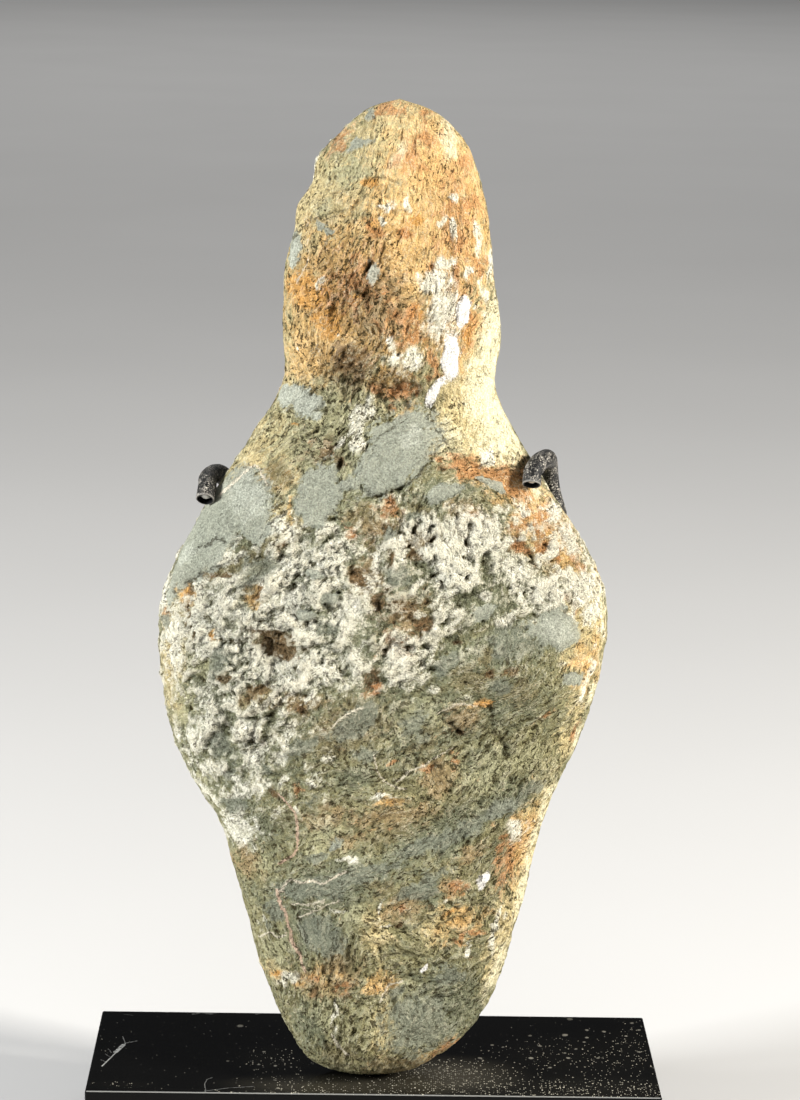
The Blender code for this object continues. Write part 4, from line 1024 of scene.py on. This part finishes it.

# The stone's material: noises as number to the millimetre, octaves and roughness; what is drawn out
# along the layers is scaled across, along and inwards, and moved on by the last number; and the
# colours of what lies over the kinds: dirt and painted shade, painted highlight and painted shadow
stonePaint = {
    "specular": 0.12, "push": (0.4, 4.0, 0.62), "pushBy": 3.0,
    "grit": (2.2, 3, 0.7), "sand": (3.0, 2, 0.6), "lumps": (0.7, 3, 0.65), "strokes": (1.0, 3, 0.58),
    "flowWeb": (1.0, 3, 0.6), "web": (0.75, 3, 0.6), "ground": (0.8, 5, 0.72), "drift": (0.17, 2, 0.5),
    "slit": (1.0, 2, 0.5), "thread": (1.0, 2, 0.55), "pore": (2.4, 2, 0.5), "wander": (1.2, 3, 0.6),
    "drawnOut": {"strokes": (1.0, 0.28, 0.5), "flowWeb": (0.66, 0.32, 0.45, 21),
                 "slit": (1.9, 0.85, 1.2, 5), "thread": (1.0, 0.2, 0.5, 33)},
    "sandShift": 9, "poreShift": 3, "groundShift": 40.0, "grounds": 5,
    "threadColor": (200, 192, 162), "veinColor": (214, 206, 184), "pinkVeinColor": (202, 168, 146),
    "dirtAndShadeColor": (138, 122, 78), "crestHighlightColor": (228, 221, 196), "holeShadowColor": (46, 38, 14),
}


def kindsOver(place, surface, raised, grit, strokes):
    # Each kind laid over those before it where its amount, moved by noise, is over 0. Its own noise
    # takes it from its darker to its lighter colour, and on all but the plain kinds the relief adds
    # painted light and shade, lighter where raised and darker in the lows
    grounds = [place.shifted(stonePaint["groundShift"] * k).noise(*stonePaint["ground"])
               for k in range(stonePaint["grounds"])]
    masks = {}
    fleck = raised + grit
    for k, (name, (dark, light)) in enumerate(kinds.items()):
        if name == "khaki":
            continue
        turn = 1 if k % 2 else -1
        plain = name in ("slate", "paleSlate", "pebble")
        # painted light and shade: raised parts lighter, lows darker; the plain kinds take grit instead
        gritOrReliefShade = grit * 0.5 if plain else raised * 0.7
        shade = (grounds[k % len(grounds)] * ((0.6 if plain else 1.3) * turn) + gritOrReliefShade + 0.5).step(0.0, 1.0)
        crisp, soft, cover = edges[name]
        own = grounds[(k + 2) % len(grounds)] * (crisp * turn * 0.8)
        edge = attributeOf(place, name) + own + strokes * (crisp * 0.7) + fleck * (crisp * 0.4)
        masks[name] = edge.step(-soft, soft) * cover
        surface = masks[name].mix(surface, shade.mix(color(*dark), color(*light)))
    return surface, masks


def lineMask(place, name, width, wobble, softness):
    # 1 within a crack's or vein's wandering half width, from the signed distance that the mesh carries
    side = attributeOf(place, name + "Side") + wobble
    return (width - abs(side)).step(*softness) * attributeOf(place, name + "Width").step(0.05, 0.15)


def stoneMaterial():
    # One height of hollows, crests, strokes and grit, which the colours and the normals share. The
    # weights in the sums are chosen
    material, shader, place = startMaterial("weatheredStone", Specular_IOR_Level=stonePaint["specular"])
    grain = attributeOf(place, "grain", "Vector")
    cavity = attributeOf(place, "cavity")
    crust, streaks, pits, calm = (attributeOf(place, name) for name in broad)
    loose = (1 - crust * 0.75) * (1 - calm * 0.55)

    # places pushed about by noise, so that nothing runs straight
    settings = dict(zip(("Scale", "Detail", "Roughness"), stonePaint["push"]))
    push = place.add("TexNoise", {"Vector": place, **settings}, 1)
    bent, bentGrain = (push.add("VectorMath", {0: push, 1: (stonePaint["pushBy"],) * 3, 2: spot},
                                operation="MULTIPLY_ADD") for spot in (place, grain))

    def drawnOut(name):
        # The noise of that name on stretched places
        return bentGrain.stretched(*stonePaint["drawnOut"][name]).noise(*stonePaint[name])

    grit, lumps, drift, wobble = (place.noise(*stonePaint[name])
                                  for name in ("grit", "lumps", "drift", "wander"))
    sand = place.shifted(stonePaint["sandShift"]).noise(*stonePaint["sand"])
    strokes, flowWeb = drawnOut("strokes"), abs(drawnOut("flowWeb"))
    web = abs(bent.noise(*stonePaint["web"]))
    raised = lumps * 0.5 + grit * 0.4 + strokes * (streaks + 0.5) * (1 - crust * 0.8) + crust * 0.05 + 0.2
    raised = raised - flowWeb * (pits * 0.8 + 0.8) * loose * 1.2 - web * (crust + 0.6)

    # the khaki ground, with painted light and shade: lighter where raised, darker in the lows
    khaki = (raised + lumps + 0.5).step(0.0, 1.0).mix(*[color(*shade) for shade in kinds["khaki"]])
    surface, masks = kindsOver(place, khaki, raised, grit, strokes)
    smooth = masks["slate"].most(masks["pebble"]).most(masks["paleSlate"])
    smooth = smooth.most(masks["bone"] * 0.4).most(masks["bluestone"] * 0.5)
    open_ = 1 - smooth * 0.85

    # slits and pale threads along the layers, the slits in clusters; cracks and veins
    cluster = (drift + pits * 0.2 + streaks * 0.1 + crust * 0.05 - calm * 0.06).step(-0.08, 0.1)
    slit = drawnOut("slit") + raised * 0.12
    pit = slit.step(-0.065, -0.1) * cluster * open_ * (1 - crust * 0.4)
    thread = abs(drawnOut("thread")).step(0.035, 0.005)
    thread = thread * (0.4 - crust * 0.15) * open_ * drift.step(0.12, -0.1)
    surface = thread.mix(surface, color(*stonePaint["threadColor"]))
    pore = place.shifted(stonePaint["poreShift"]).noise(*stonePaint["pore"]) + raised * 0.3
    pore = pore.step(-0.15, -0.19) * open_ * 0.6
    crackHalf = attributeOf(place, "crackWidth") * 0.9 + lumps * 2.0 + grit * 0.6 - 0.12
    crack = lineMask(place, "crack", crackHalf, wobble * 1.6, (-0.05, 0.2))
    veinHalf = attributeOf(place, "veinWidth") + grit * 0.7
    vein = lineMask(place, "vein", veinHalf, wobble * 1.2, (-0.1, 0.16)) * 0.7
    veinColors = color(*stonePaint["veinColor"]), color(*stonePaint["pinkVeinColor"])
    surface = vein.mix(surface, attributeOf(place, "veinPink").mix(*veinColors))

    # painted highlights on the raised parts and crests, dirt and painted shade in the lows, and painted
    # shadow in the openings
    # raised parts and strokes lighter as painted light; grit and sand are the stone's own random tone
    value = 1 + raised * 0.4 * open_ + grit * (smooth * 0.5 + 0.7) + sand * (smooth * 0.5 + 0.8)
    surface = (value + strokes * 0.2 * loose * open_).timesColor(surface)
    # dirt and painted shade: the lows and hollows are multiplied towards a dull brown
    low = cavity * 0.7 - raised * 0.9 * open_ - thread * 0.3
    dirtAndShade = low.step(0.15, 0.75) * (1 - calm * 0.3) * (0.75 - crust * 0.05)
    surface = dirtAndShade.mix(surface, color(*stonePaint["dirtAndShadeColor"]), "MULTIPLY")
    # painted highlight: crests away from the lows are lightened towards a warm pale colour, most on the
    # crust
    crest = low.step(-0.06, -0.45) * (crust * 0.4 + 0.12) * open_
    surface = crest.mix(surface, color(*stonePaint["crestHighlightColor"]))
    # painted shadow: the deepest lows, the slits, pores and cracks are painted near black
    deep = low.step(0.42, 0.75) * (crust * 0.65 + 0.3) * open_
    holeShadows = (pit * 0.85).most(pore).most(crack * 0.6).most(deep)
    surface = holeShadows.mix(surface, color(*stonePaint["holeShadowColor"]))

    height = raised * (streaks * 0.5 + crust * 0.4 + 1.4) * open_ + raised * 0.15 + grit * 0.2
    height = height + thread * 0.12 - pit * 1.6 - pore * 0.4 - crack * 0.6 + vein * 0.12
    rough = 0.92 - smooth * 0.2 + grit * 0.1
    plug(shader, Base_Color=surface, Roughness=rough, Normal=bumped(place, height))
    return material


# The stand's base and the marks on its top, in millimetres from its middle: sideways, backward
base = {
    "top": 19.0, "halfDepth": 25.0, "bevel": 0.5, "specular": 0.12, "rough": 0.1,
    "grains": {"small": (2.0, 0.8, 0.3), "large": (1.1, 0.35, 0.2)}, "grainStretch": (1, 0.7, 1),
    "black": (0.0015, 0.0015, 0.0014, 1), "filmColor": (150, 142, 120), "dustColor": (176, 170, 152),
    "scratchAndEdgeHighlightColor": (196, 196, 190),
    # half width, strength, points
    "scratches": [
        (.12, .5, [(-67, -10.2), (-64.8, -3.4), (-63.6, .4), (-62.4, 4)]),
        (.5, .5, [(-64.4, -1.6), (-62.8, 3)]),
        (.05, .4, [(-62.4, 4), (-59.6, 5.6)]), (.05, .3, [(-62.4, 4), (-63.4, 8.2)]),
        (.04, .25, [(-66.4, .4), (-65.4, -2)]), (.04, .25, [(-66.9, -2.8), (-65.6, -4.6)]),
        (.04, .25, [(-67.6, -6.4), (-66, -8)]), (.02, .16, [(-64.2, 22.6), (-61.8, 22)]),
        (.02, .3, [(-40.7, -24.9), (-41.2, -20), (-40.8, -17.4), (-39.6, -16.3)]),
        (.02, .3, [(-41, -24.2), (-35.4, -22.3), (-29.2, -21.2)]),
        (.4, .12, [(-46.4, 23.4), (-44.2, 24.5), (-42, 23.6), (-40, 24.8), (-38.2, 24.9)]),
        (.3, .08, [(-30.2, 23.8), (-29, 24.6), (-26.7, 24.9)])],
    # middle, radius, strength
    "spots": [
        (48.9, 12.7, .8, .5), (54.4, 11.2, .6, .5), (59.1, 15.2, .6, .5), (54.8, 16.1, .6, .35),
        (53.5, 8.3, .5, .4), (42.1, 5.5, .6, .4), (39.4, -2.1, .7, .6), (48.7, -1.8, .6, .6),
        (48.1, 1.3, .5, .4), (51.1, 3.9, .5, .4), (30, 5.7, .5, .4), (26.6, -2.5, .6, .4),
        (43.8, -7.8, .5, .5), (64.5, 12.5, .5, .5), (68.2, 16.5, .5, .4), (66.8, 21, .6, .3),
        (56.2, -1.6, .5, .4), (32.7, 4.5, .4, .4), (40, 12, .6, .25), (66.9, 2.5, .6, .4),
        (50.9, 23.1, .9, .2), (-34, 16, .9, .3), (-27.4, -.2, .5, .4), (-24.3, -8.7, .5, .5),
        (-28.4, -8, .45, .4), (-24, -17.3, .4, .4), (-23.3, -22, .5, .5), (-20.4, -9.4, .4, .35),
        (-36.2, -6.2, .5, .2)],
    # middle, half width, half depth, amount of grains, amount of film
    "dusty": [
        (52, -20, 40, 8, .8, .012), (18, -13, 20, 12, 1.1, .11), (48, -2, 26, 16, .3, .006),
        (-25, -5, 11, 11, .4, .006), (-62, -21, 11, 3, .35, .004), (-8, -20, 30, 7, .5, .07),
        (66, 4, 6, 20, .4, .004), (8, -24, 60, 3, .5, .01)],
}


def strokeDistance(spot, start, end):
    # How far a place is from a straight stroke
    run = np.subtract((*end, 0), (*start, 0)).astype(float)
    away = spot.add("VectorMath", {0: spot, 1: (*start, 0)}, operation="SUBTRACT")
    along = away.add("VectorMath", {0: away, 1: tuple(run / (run @ run))}, 1, operation="DOT_PRODUCT")
    along = along.add("Clamp", {"Value": along})
    nearest = away.add("VectorMath", {0: tuple(run), "Scale": along}, operation="SCALE")
    return away.add("VectorMath", {0: away, 1: nearest}, 1, operation="DISTANCE")


def grainsOf(spot, scale, density, size):
    # Round grains, one in each cell at most, in the share of cells that the density gives
    cell = spot.add("TexVoronoi", {"Vector": spot, "Scale": scale}, 0, voronoi_dimensions="2D")
    drawn = cell.also(1)
    chance, large = (drawn.add("SeparateColor", {0: drawn}, k) for k in (0, 1))
    return (large * size + size * 0.5 - cell).step(0.0, size * 0.5) * (density - chance).step(0.0, 0.05)


def acrylicMaterial():
    # Black, with a film, round grains and spots of dust and scratches on the top face, and a painted
    # highlight along the front edge
    material, shader, place = startMaterial("dustyAcrylic", Specular_IOR_Level=base["specular"])
    smear = place.noise(0.08, 4, 0.6)
    grit = place.noise(1.2, 3, 0.6)
    y, z = (place.add("SeparateXYZ", {0: place}, k) for k in (1, 2))
    onTop = z.step(base["top"] - 0.3, base["top"] - 0.05)
    spot = place.add("VectorMath", {0: place, 1: (1, 1, 0)}, operation="MULTIPLY")

    # the amounts of grains and film, smoothly falling from each dusty place
    density, film = smear * 0.1 + 0.03, (smear + 0.3) * 0.004
    for x0, y0, wide, deep, grains, layer in base["dusty"]:
        away = spot.add("VectorMath", {0: spot, 1: (-x0, -y0, 0)}, operation="ADD")
        away = away.add("VectorMath", {0: away, 1: (1 / wide, 1 / deep, 0)}, operation="MULTIPLY")
        near = away.add("VectorMath", {0: away}, 1, operation="LENGTH").step(1.15, 0.1)
        density, film = density + near * grains * 0.5, film + near * layer
    density = density + grit * density
    bed = spot.add("VectorMath", {0: spot, 1: base["grainStretch"]}, operation="MULTIPLY")
    small, large = (grainsOf(bed, scale, density * share, size)
                    for scale, share, size in base["grains"].values())
    dust = (small * 0.8).most(large)

    # listed spots and scratches, with their edges broken by grit
    broken = spot.add("VectorMath", {0: grit, 1: (0.5, 0.5, 0), 2: spot}, operation="MULTIPLY_ADD")
    for x0, y0, radius, strength in base["spots"]:
        away = broken.add("VectorMath", {0: broken, 1: (x0, y0, 0)}, 1, operation="DISTANCE")
        dust = dust.most((radius - away).step(-0.1, 0.35) * strength)
    scratch = smear * 0.0  # none yet
    for half, strength, points in base["scratches"]:
        for start, end in zip(points, points[1:]):
            away = strokeDistance(broken, start, end)
            scratch = scratch.most((half - away).step(-0.16, 0.12) * strength)
    scratch = scratch * (grit * 3.0 + 0.9).step(0.2, 1.0)
    # painted highlight: a thin pale strip along the bevel at the top front edge
    crest = base["top"] + base["halfDepth"] - base["bevel"]
    paintedEdgeHighlight = (z - y).step(crest + 0.06, crest + 0.16)

    dust, scratch = dust * onTop, scratch * onTop
    surface = (film * onTop).mix(base["black"], color(*base["filmColor"]))
    surface = (dust * 0.65).mix(surface, color(*base["dustColor"]))
    surface = scratch.most(paintedEdgeHighlight * 0.3).mix(surface, color(*base["scratchAndEdgeHighlightColor"]))
    rough = base["rough"] + dust * 0.6 + scratch * 0.4 + film * 0.8
    plug(shader, Base_Color=surface, Roughness=rough, Normal=bumped(place, dust * 0.06 - scratch * 0.05))
    return material


# Paints of the post and the wire, and of the tubing
steel = {
    "specular": 0.5, "orangePeel": (1.6, 3, 0.5), "wear": (0.35, 5, 0.7), "rough": 0.42,
    "black": ((0.011, 0.011, 0.012, 1), (0.03, 0.03, 0.031, 1)), "worn": (0.16, 0.15, 0.14, 1),
    "cutColor": (198, 196, 190),
}
tubing = {
    "specular": 0.2, "cloud": (0.5, 4, 0.65), "fine": (5.0, 3, 0.65), "creaseHighlights": (0.8, 3, 0.6),
    "specks": 1.3, "smallSpecks": 2.4, "rough": 0.5, "black": (0.003, 0.003, 0.003, 1),
    "sheenColor": (92, 80, 70), "dustColor": (190, 184, 172), "rimHighlightColor": (150, 146, 138),
    "inside": (0.006, 0.006, 0.006, 1),
}


def steelMaterial():
    # Black paint with orange peel, worn through in places and gone from the cut ends
    material, shader, place = startMaterial("blackPaintedSteel", Specular_IOR_Level=steel["specular"])
    orange, wear = place.noise(*steel["orangePeel"]), place.noise(*steel["wear"])
    worn = wear.step(0.16, 0.24)
    cut = attributeOf(place, "cut")
    paint = (wear + 0.5).mix(*steel["black"])
    surface = cut.mix((worn * 0.6).mix(paint, steel["worn"]), color(*steel["cutColor"]))
    plug(shader, Base_Color=surface, Roughness=steel["rough"] + wear * 0.3,
         Metallic=(worn * 0.8).most(cut * 0.4), Normal=bumped(place, orange * 0.03 - worn * 0.02))
    return material


def tubingMaterial():
    # Black with a painted clouded sheen, specks of dust, painted highlights on the creases and a painted
    # highlight along the rim
    material, shader, place = startMaterial("dustyTubing", Specular_IOR_Level=tubing["specular"])
    cloud, fine = place.noise(*tubing["cloud"]), place.noise(*tubing["fine"])
    sheen = (cloud + fine * 0.4).step(0.0, 0.35)
    small = place.cells(tubing["smallSpecks"]).step(0.34, 0.18) * 0.8
    dots = place.cells(tubing["specks"]).step(0.32, 0.2).most(small) * (fine + cloud * 1.3).step(-0.16, 0.1)
    # painted highlights on the creases: thin pale lines where the tubing crinkles
    creaseHighlights = abs(place.noise(*tubing["creaseHighlights"])).step(0.035, 0.008) * (fine + cloud).step(-0.1, 0.15)
    rim, inside = attributeOf(place, "rim"), attributeOf(place, "inside")
    # painted sheen: a clouded brownish grey over the black
    surface = (sheen * 0.22).mix(tubing["black"], color(*tubing["sheenColor"]))
    surface = (dots * 0.8).most(creaseHighlights * 0.5).mix(surface, color(*tubing["dustColor"]))
    # painted highlight along the rims at the cut ends
    surface = inside.mix((rim * 0.6).mix(surface, color(*tubing["rimHighlightColor"])), tubing["inside"])
    rough = tubing["rough"] + sheen * 0.2 + dots * 0.3
    plug(shader, Base_Color=surface, Roughness=rough,
         Normal=bumped(place, fine * 0.08 + cloud * 0.12 + dots * 0.05))
    return material


# The bent wire and its two sleeves, in millimetres
wire = {
    "radius": 1.5, "sleeveRadius": 2.2, "sleeveWall": 0.4, "sleeveLength": 34.0, "pastWire": 0.6,
    "gap": 0.3, "gripClearance": 0.5, "straightBeside": 3.6, "postRadius": 3.0, "yokeLevel": 46.6,
    "spacing": 0.5, "easedEnd": 0.6, "sides": 28, "sleeveSides": 44,
    "smallAlong": 0.01, "smallAround": 0.06, "foldsAround": 1.4, "foldSize": 1.1, "dentSize": 3.5,
    "bendFolds": 9,
    "mouthRings": 4, "mouthGap": 0.1, "rimFade": 0.35, "lipDrop": 0.12, "lipFade": 0.12, "sharpOver": 50,
    "leftSleeve": {"seed": 301, "crinkle": 0.26}, "rightSleeve": {"seed": 307, "crinkle": 0.12},
    # degrees round the stone, hundredths of its height, millimetres of stand-off
    "right": [
        (292, 47.2, 0.8), (309, 48.6, 0.7), (321, 51.6, 0.5), (328, 55.4, 0.5), (333, 58.7, 0.5),
        (338, 60.9, 0.2), (346, 62.8, 0.3), (358, 64.1, 0.7), (370, 64.5, 0.9), (380, 64.4, 0.7),
        (387, 63.7, 0.4), (392, 62.7, 0.1)],
    "left": [
        (250, 47.2, 0.8), (234, 48.8, 0.7), (224, 51.8, 0.5), (218, 55.4, 0.3), (214, 58.4, 0.4),
        (208, 60.3, 0.6), (200, 61.0, 0.6), (190, 61.1, 0.4), (180, 60.9, 0.2), (172, 60.6, 0.1),
        (167, 60.1, 0.1), (164, 59.6, 0.1)],
}


def besideStone(degrees, level, distance):
    # The point that lies a distance out from the stone, by the cross product of two small steps
    middle = (rightLine[:, 1] + leftLine[:, 1]) / 2
    along = np.interp(level / 100 * stone["height"], middle, outlineShare)
    along = along + wire["smallAlong"] * np.array([[0, 0, 0], [-1, 0, 1]])
    around = radians(degrees) + wire["smallAround"] * np.array([[-1, 0, 1], [0, 0, 0]])
    (before, here, after), (below, _, above) = stoodOnBase(carvedAt(along, around)[1])
    outward = np.cross(before - after, above - below)
    return here + outward * distance / np.linalg.norm(outward)


def wireLine():
    # One flowing line through stations: from the tip of the left hook, behind the stone across the
    # post, to the tip of the right hook
    clear = wire["sleeveRadius"] + wire["gripClearance"]
    left = [besideStone(turn, level, clear + off) for turn, level, off in wire["left"]]
    right = [besideStone(turn, level, clear + off) for turn, level, off in wire["right"]]
    postY = np.mean([corner[1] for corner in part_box("stand_post")]) / mm
    level = stone["rise"] + stone["height"] * wire["yokeLevel"] / 100
    edge = wire["postRadius"] + wire["gap"]
    straight = edge + wire["straightBeside"]
    yoke = [(x, postY, level) for x in (-straight, -edge, edge, straight)]
    stations = np.array([*left[::-1], *yoke, *right])
    return flowingLine(stations, round(travelled(stations)[-1] / wire["spacing"]))


def framesAlong(line):
    # The tangent, and a side direction that turns as little as it can from station to station
    tangent = np.gradient(line, axis=0)
    tangent /= np.linalg.norm(tangent, axis=1)[:, None]
    side = [np.cross(tangent[0], (0.3, 0.2, 0.93))]
    for way in tangent:
        turned = side[-1] - way * (side[-1] @ way)
        side.append(turned / np.linalg.norm(turned))
    side = np.array(side[1:])
    return tangent, side, np.cross(tangent, side)


def tubeRings(line, radii, sides):
    # A ring of points round each station; the radii are one a station or one a point
    tangent, side, other = framesAlong(line)
    angle = np.linspace(0, 2 * pi, sides, endpoint=False)[None, :, None]
    reach = np.broadcast_to(radii, (len(line), sides))[..., None]
    return line[:, None] + reach * (np.cos(angle) * side[:, None] + np.sin(angle) * other[:, None])


def closedTube(name, rings):
    # The rings' skin with a fan over each end
    points = np.concatenate([rings.reshape(-1, 3), [rings[0].mean(0)], [rings[-1].mean(0)]]) * mm
    return addMesh(name, points, closedFaces(*rings.shape[:2]))


def buildWire(line):
    # A round rod whose radius falls as a square root over its last half millimetre or so
    fromEnd = np.minimum(travelled(line), travelled(line[::-1])[::-1])
    ease = np.sqrt(np.clip(fromEnd / wire["easedEnd"], 0.15, 1))
    piece = closedTube("bent_wire", tubeRings(line, wire["radius"] * ease[:, None], wire["sides"]))
    cut = np.zeros(len(piece.data.vertices))
    cut[:wire["sides"]] = cut[-wire["sides"] - 2:] = 1
    storeValues(piece, "cut", cut)
    return piece


def buildSleeve(name, line, seed, crinkle):
    # Rings along the outside and back through the bore, wrinkled by noise, the more so inside a bend
    outwards = line[0] - line[1]
    steps = np.linspace(wire["pastWire"], wire["mouthGap"], wire["mouthRings"])[:, None]
    mouth = line[0] + outwards / np.linalg.norm(outwards) * steps
    line = np.concatenate([mouth, line[travelled(line) < wire["sleeveLength"]]])
    tangent, side, other = framesAlong(line)
    bend = np.gradient(tangent, axis=0) / np.gradient(travelled(line))[:, None]
    angle = np.linspace(0, 2 * pi, wire["sleeveSides"], endpoint=False)
    facing = np.cos(angle)[None, :, None] * side[:, None] + np.sin(angle)[None, :, None] * other[:, None]
    inner = np.clip(np.sum(facing * bend[:, None], -1) * wire["bendFolds"], 0, 1)
    reach = travelled(line)[:, None]
    around = wire["foldsAround"]
    places = np.stack(np.broadcast_arrays(reach, np.cos(angle) * around, np.sin(angle) * around), -1)
    folds = swell(places, wire["foldSize"], seed, 2) * (0.35 + 0.65 * inner)
    dents = 0.35 * swell(places, wire["dentSize"], seed + 5)
    outer = wire["sleeveRadius"] + crinkle * (folds + dents)
    fromEnd = np.minimum(reach, reach[-1] - reach)
    outer -= wire["lipDrop"] * np.exp(-fromEnd / wire["lipFade"])
    bore = wire["sleeveRadius"] - wire["sleeveWall"]
    skin = tubeRings(line, outer, wire["sleeveSides"])
    lining = tubeRings(line, bore, wire["sleeveSides"])[::-1]
    rings = np.concatenate([skin, lining])
    rows, columns = rings.shape[:2]
    faces = gridFaces(rows + 1, columns) % (rows * columns)
    piece = addMesh(name, rings.reshape(-1, 3) * mm, faces.tolist())
    # how near each ring lies to a cut end, where the material paints a highlight
    rim = np.broadcast_to(np.exp(-(fromEnd / wire["rimFade"]) ** 2), (len(line), columns))
    storeValues(piece, "inside", np.repeat(np.arange(rows) >= len(line), columns))
    storeValues(piece, "rim", np.concatenate([rim, rim[::-1] * 0.5]))
    piece.data.set_sharp_from_angle(angle=radians(wire["sharpOver"]))
    return piece


def dress(piece, material, node):
    # The piece takes its material and the place of the CAD node
    piece.data.materials.append(material)
    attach(piece, "root")
    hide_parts(node)


dress(buildStone(), stoneMaterial(), "stone_figure")
print("stone: done")
painted = steelMaterial()
for node, material in (("stand_base", acrylicMaterial()), ("stand_post", painted)):
    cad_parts[node].data.materials.clear()
    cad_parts[node].data.materials.append(material)
cradleLine = wireLine()
shrunk = tubingMaterial()
dress(buildWire(cradleLine), painted, "cradle_wire")
leftTubing = buildSleeve("left_tubing", cradleLine, **wire["leftSleeve"])
rightTubing = buildSleeve("right_tubing", cradleLine[::-1], **wire["rightSleeve"])
dress(leftTubing, shrunk, "sleeve_left")
dress(rightTubing, shrunk, "sleeve_right")
print("stand: done")


# Floor, light and camera

# Lengths in metres
room = {
    "sideways": 8, "nearer": -4, "farther": 12, "tones": ((178, 177, 175), (184, 183, 181)),
    "rough": 0.9, "specular": 0.2, "clouds": (0.004, 2, 0.5), "air": (0.9, 0.93, 1.0, 1),
    "airStrength": 0.07,
}


def addFloor():
    # One flat rectangle of pale paper, clouded by slow noise
    across, near, far = room["sideways"], room["nearer"], room["farther"]
    points = [(-across, near, 0), (across, near, 0), (across, far, 0), (-across, far, 0)]
    floor = addMesh("paleFloor", points, [(0, 1, 2, 3)], smooth=False)
    material, shader, place = startMaterial("palePaper", Roughness=room["rough"],
                                            Specular_IOR_Level=room["specular"])
    tone = (place.noise(*room["clouds"]) + 0.5).mix(*[color(*tone) for tone in room["tones"]])
    plug(shader, Base_Color=tone)
    floor.data.materials.append(material)


def addSoftbox(name, place, aim, width, tall, power, tint):
    # A soft rectangle of light at a place, facing what it is aimed at
    light = bpy.data.lights.new(name, "AREA")
    light.shape, light.size, light.size_y, light.energy, light.color = "RECTANGLE", width, tall, power, tint
    lamp = bpy.data.objects.new(name, light)
    way = Vector(aim) - Vector(place)
    lamp.matrix_world = Matrix.Translation(place) @ way.to_track_quat("-Z", "Y").to_matrix().to_4x4()
    bpy.context.scene.collection.objects.link(lamp)


# Name, place, aim, width, height, power in watts, tint
softboxes = [
    ("keyRight", (1.08, -0.42, 0.60), (0, 0, 0.14), 0.22, 0.3, 40, (1.0, 0.97, 0.92)),
    ("fillLeft", (-1.10, -0.40, 0.50), (0, 0, 0.15), 0.3, 0.4, 34, (0.97, 0.985, 1.0)),
    ("overhead", (0.0, -0.5, 1.4), (0, 0, 0.12), 0.6, 0.6, 2.5, (1.0, 1.0, 1.0)),
    ("backFloor", (0.0, 3.6, 3.0), (0, 3.9, 0), 4.0, 4.0, 100, (1.0, 1.0, 1.0)),
]

# The camera: place in metres, turns, and the photograph's focal length and height in pixels
view = {
    "place": (-0.0081, -0.6767, 0.3123), "down": radians(13.59), "right": radians(1.04),
    "roll": radians(1.12), "focalPixels": 2900, "tallPixels": 1100, "sensor": 36.0, "clip": (0.01, 60),
}


def addCamera():
    # The three axes of the view: forwards is turned down and aside, then all roll about it
    down, aside, roll = view["down"], view["right"], view["roll"]
    forward = Vector((sin(aside) * cos(down), cos(aside) * cos(down), -sin(down)))
    level = Vector((cos(aside), -sin(aside), 0))
    above = level.cross(forward)
    right = level * cos(roll) + above * sin(roll)
    up = above * cos(roll) - level * sin(roll)
    data = bpy.data.cameras.new("photoView")
    data.sensor_width = view["sensor"]
    data.lens = view["focalPixels"] / view["tallPixels"] * view["sensor"]
    data.clip_start, data.clip_end = view["clip"]
    camera = bpy.data.objects.new("photoView", data)
    turned = Matrix((right, up, -forward)).transposed().to_4x4()
    camera.matrix_world = Matrix.Translation(view["place"]) @ turned
    bpy.context.scene.collection.objects.link(camera)
    bpy.context.scene.camera = camera


addFloor()
for box in softboxes:
    addSoftbox(*box)
addCamera()
world = bpy.data.worlds.new("softRoom")
world.use_nodes = True
world.node_tree.nodes["Background"].inputs["Color"].default_value = room["air"]
world.node_tree.nodes["Background"].inputs["Strength"].default_value = room["airStrength"]
bpy.context.scene.world = world
bpy.context.scene.view_settings.view_transform = "Standard"
print("floor, light and camera: done")
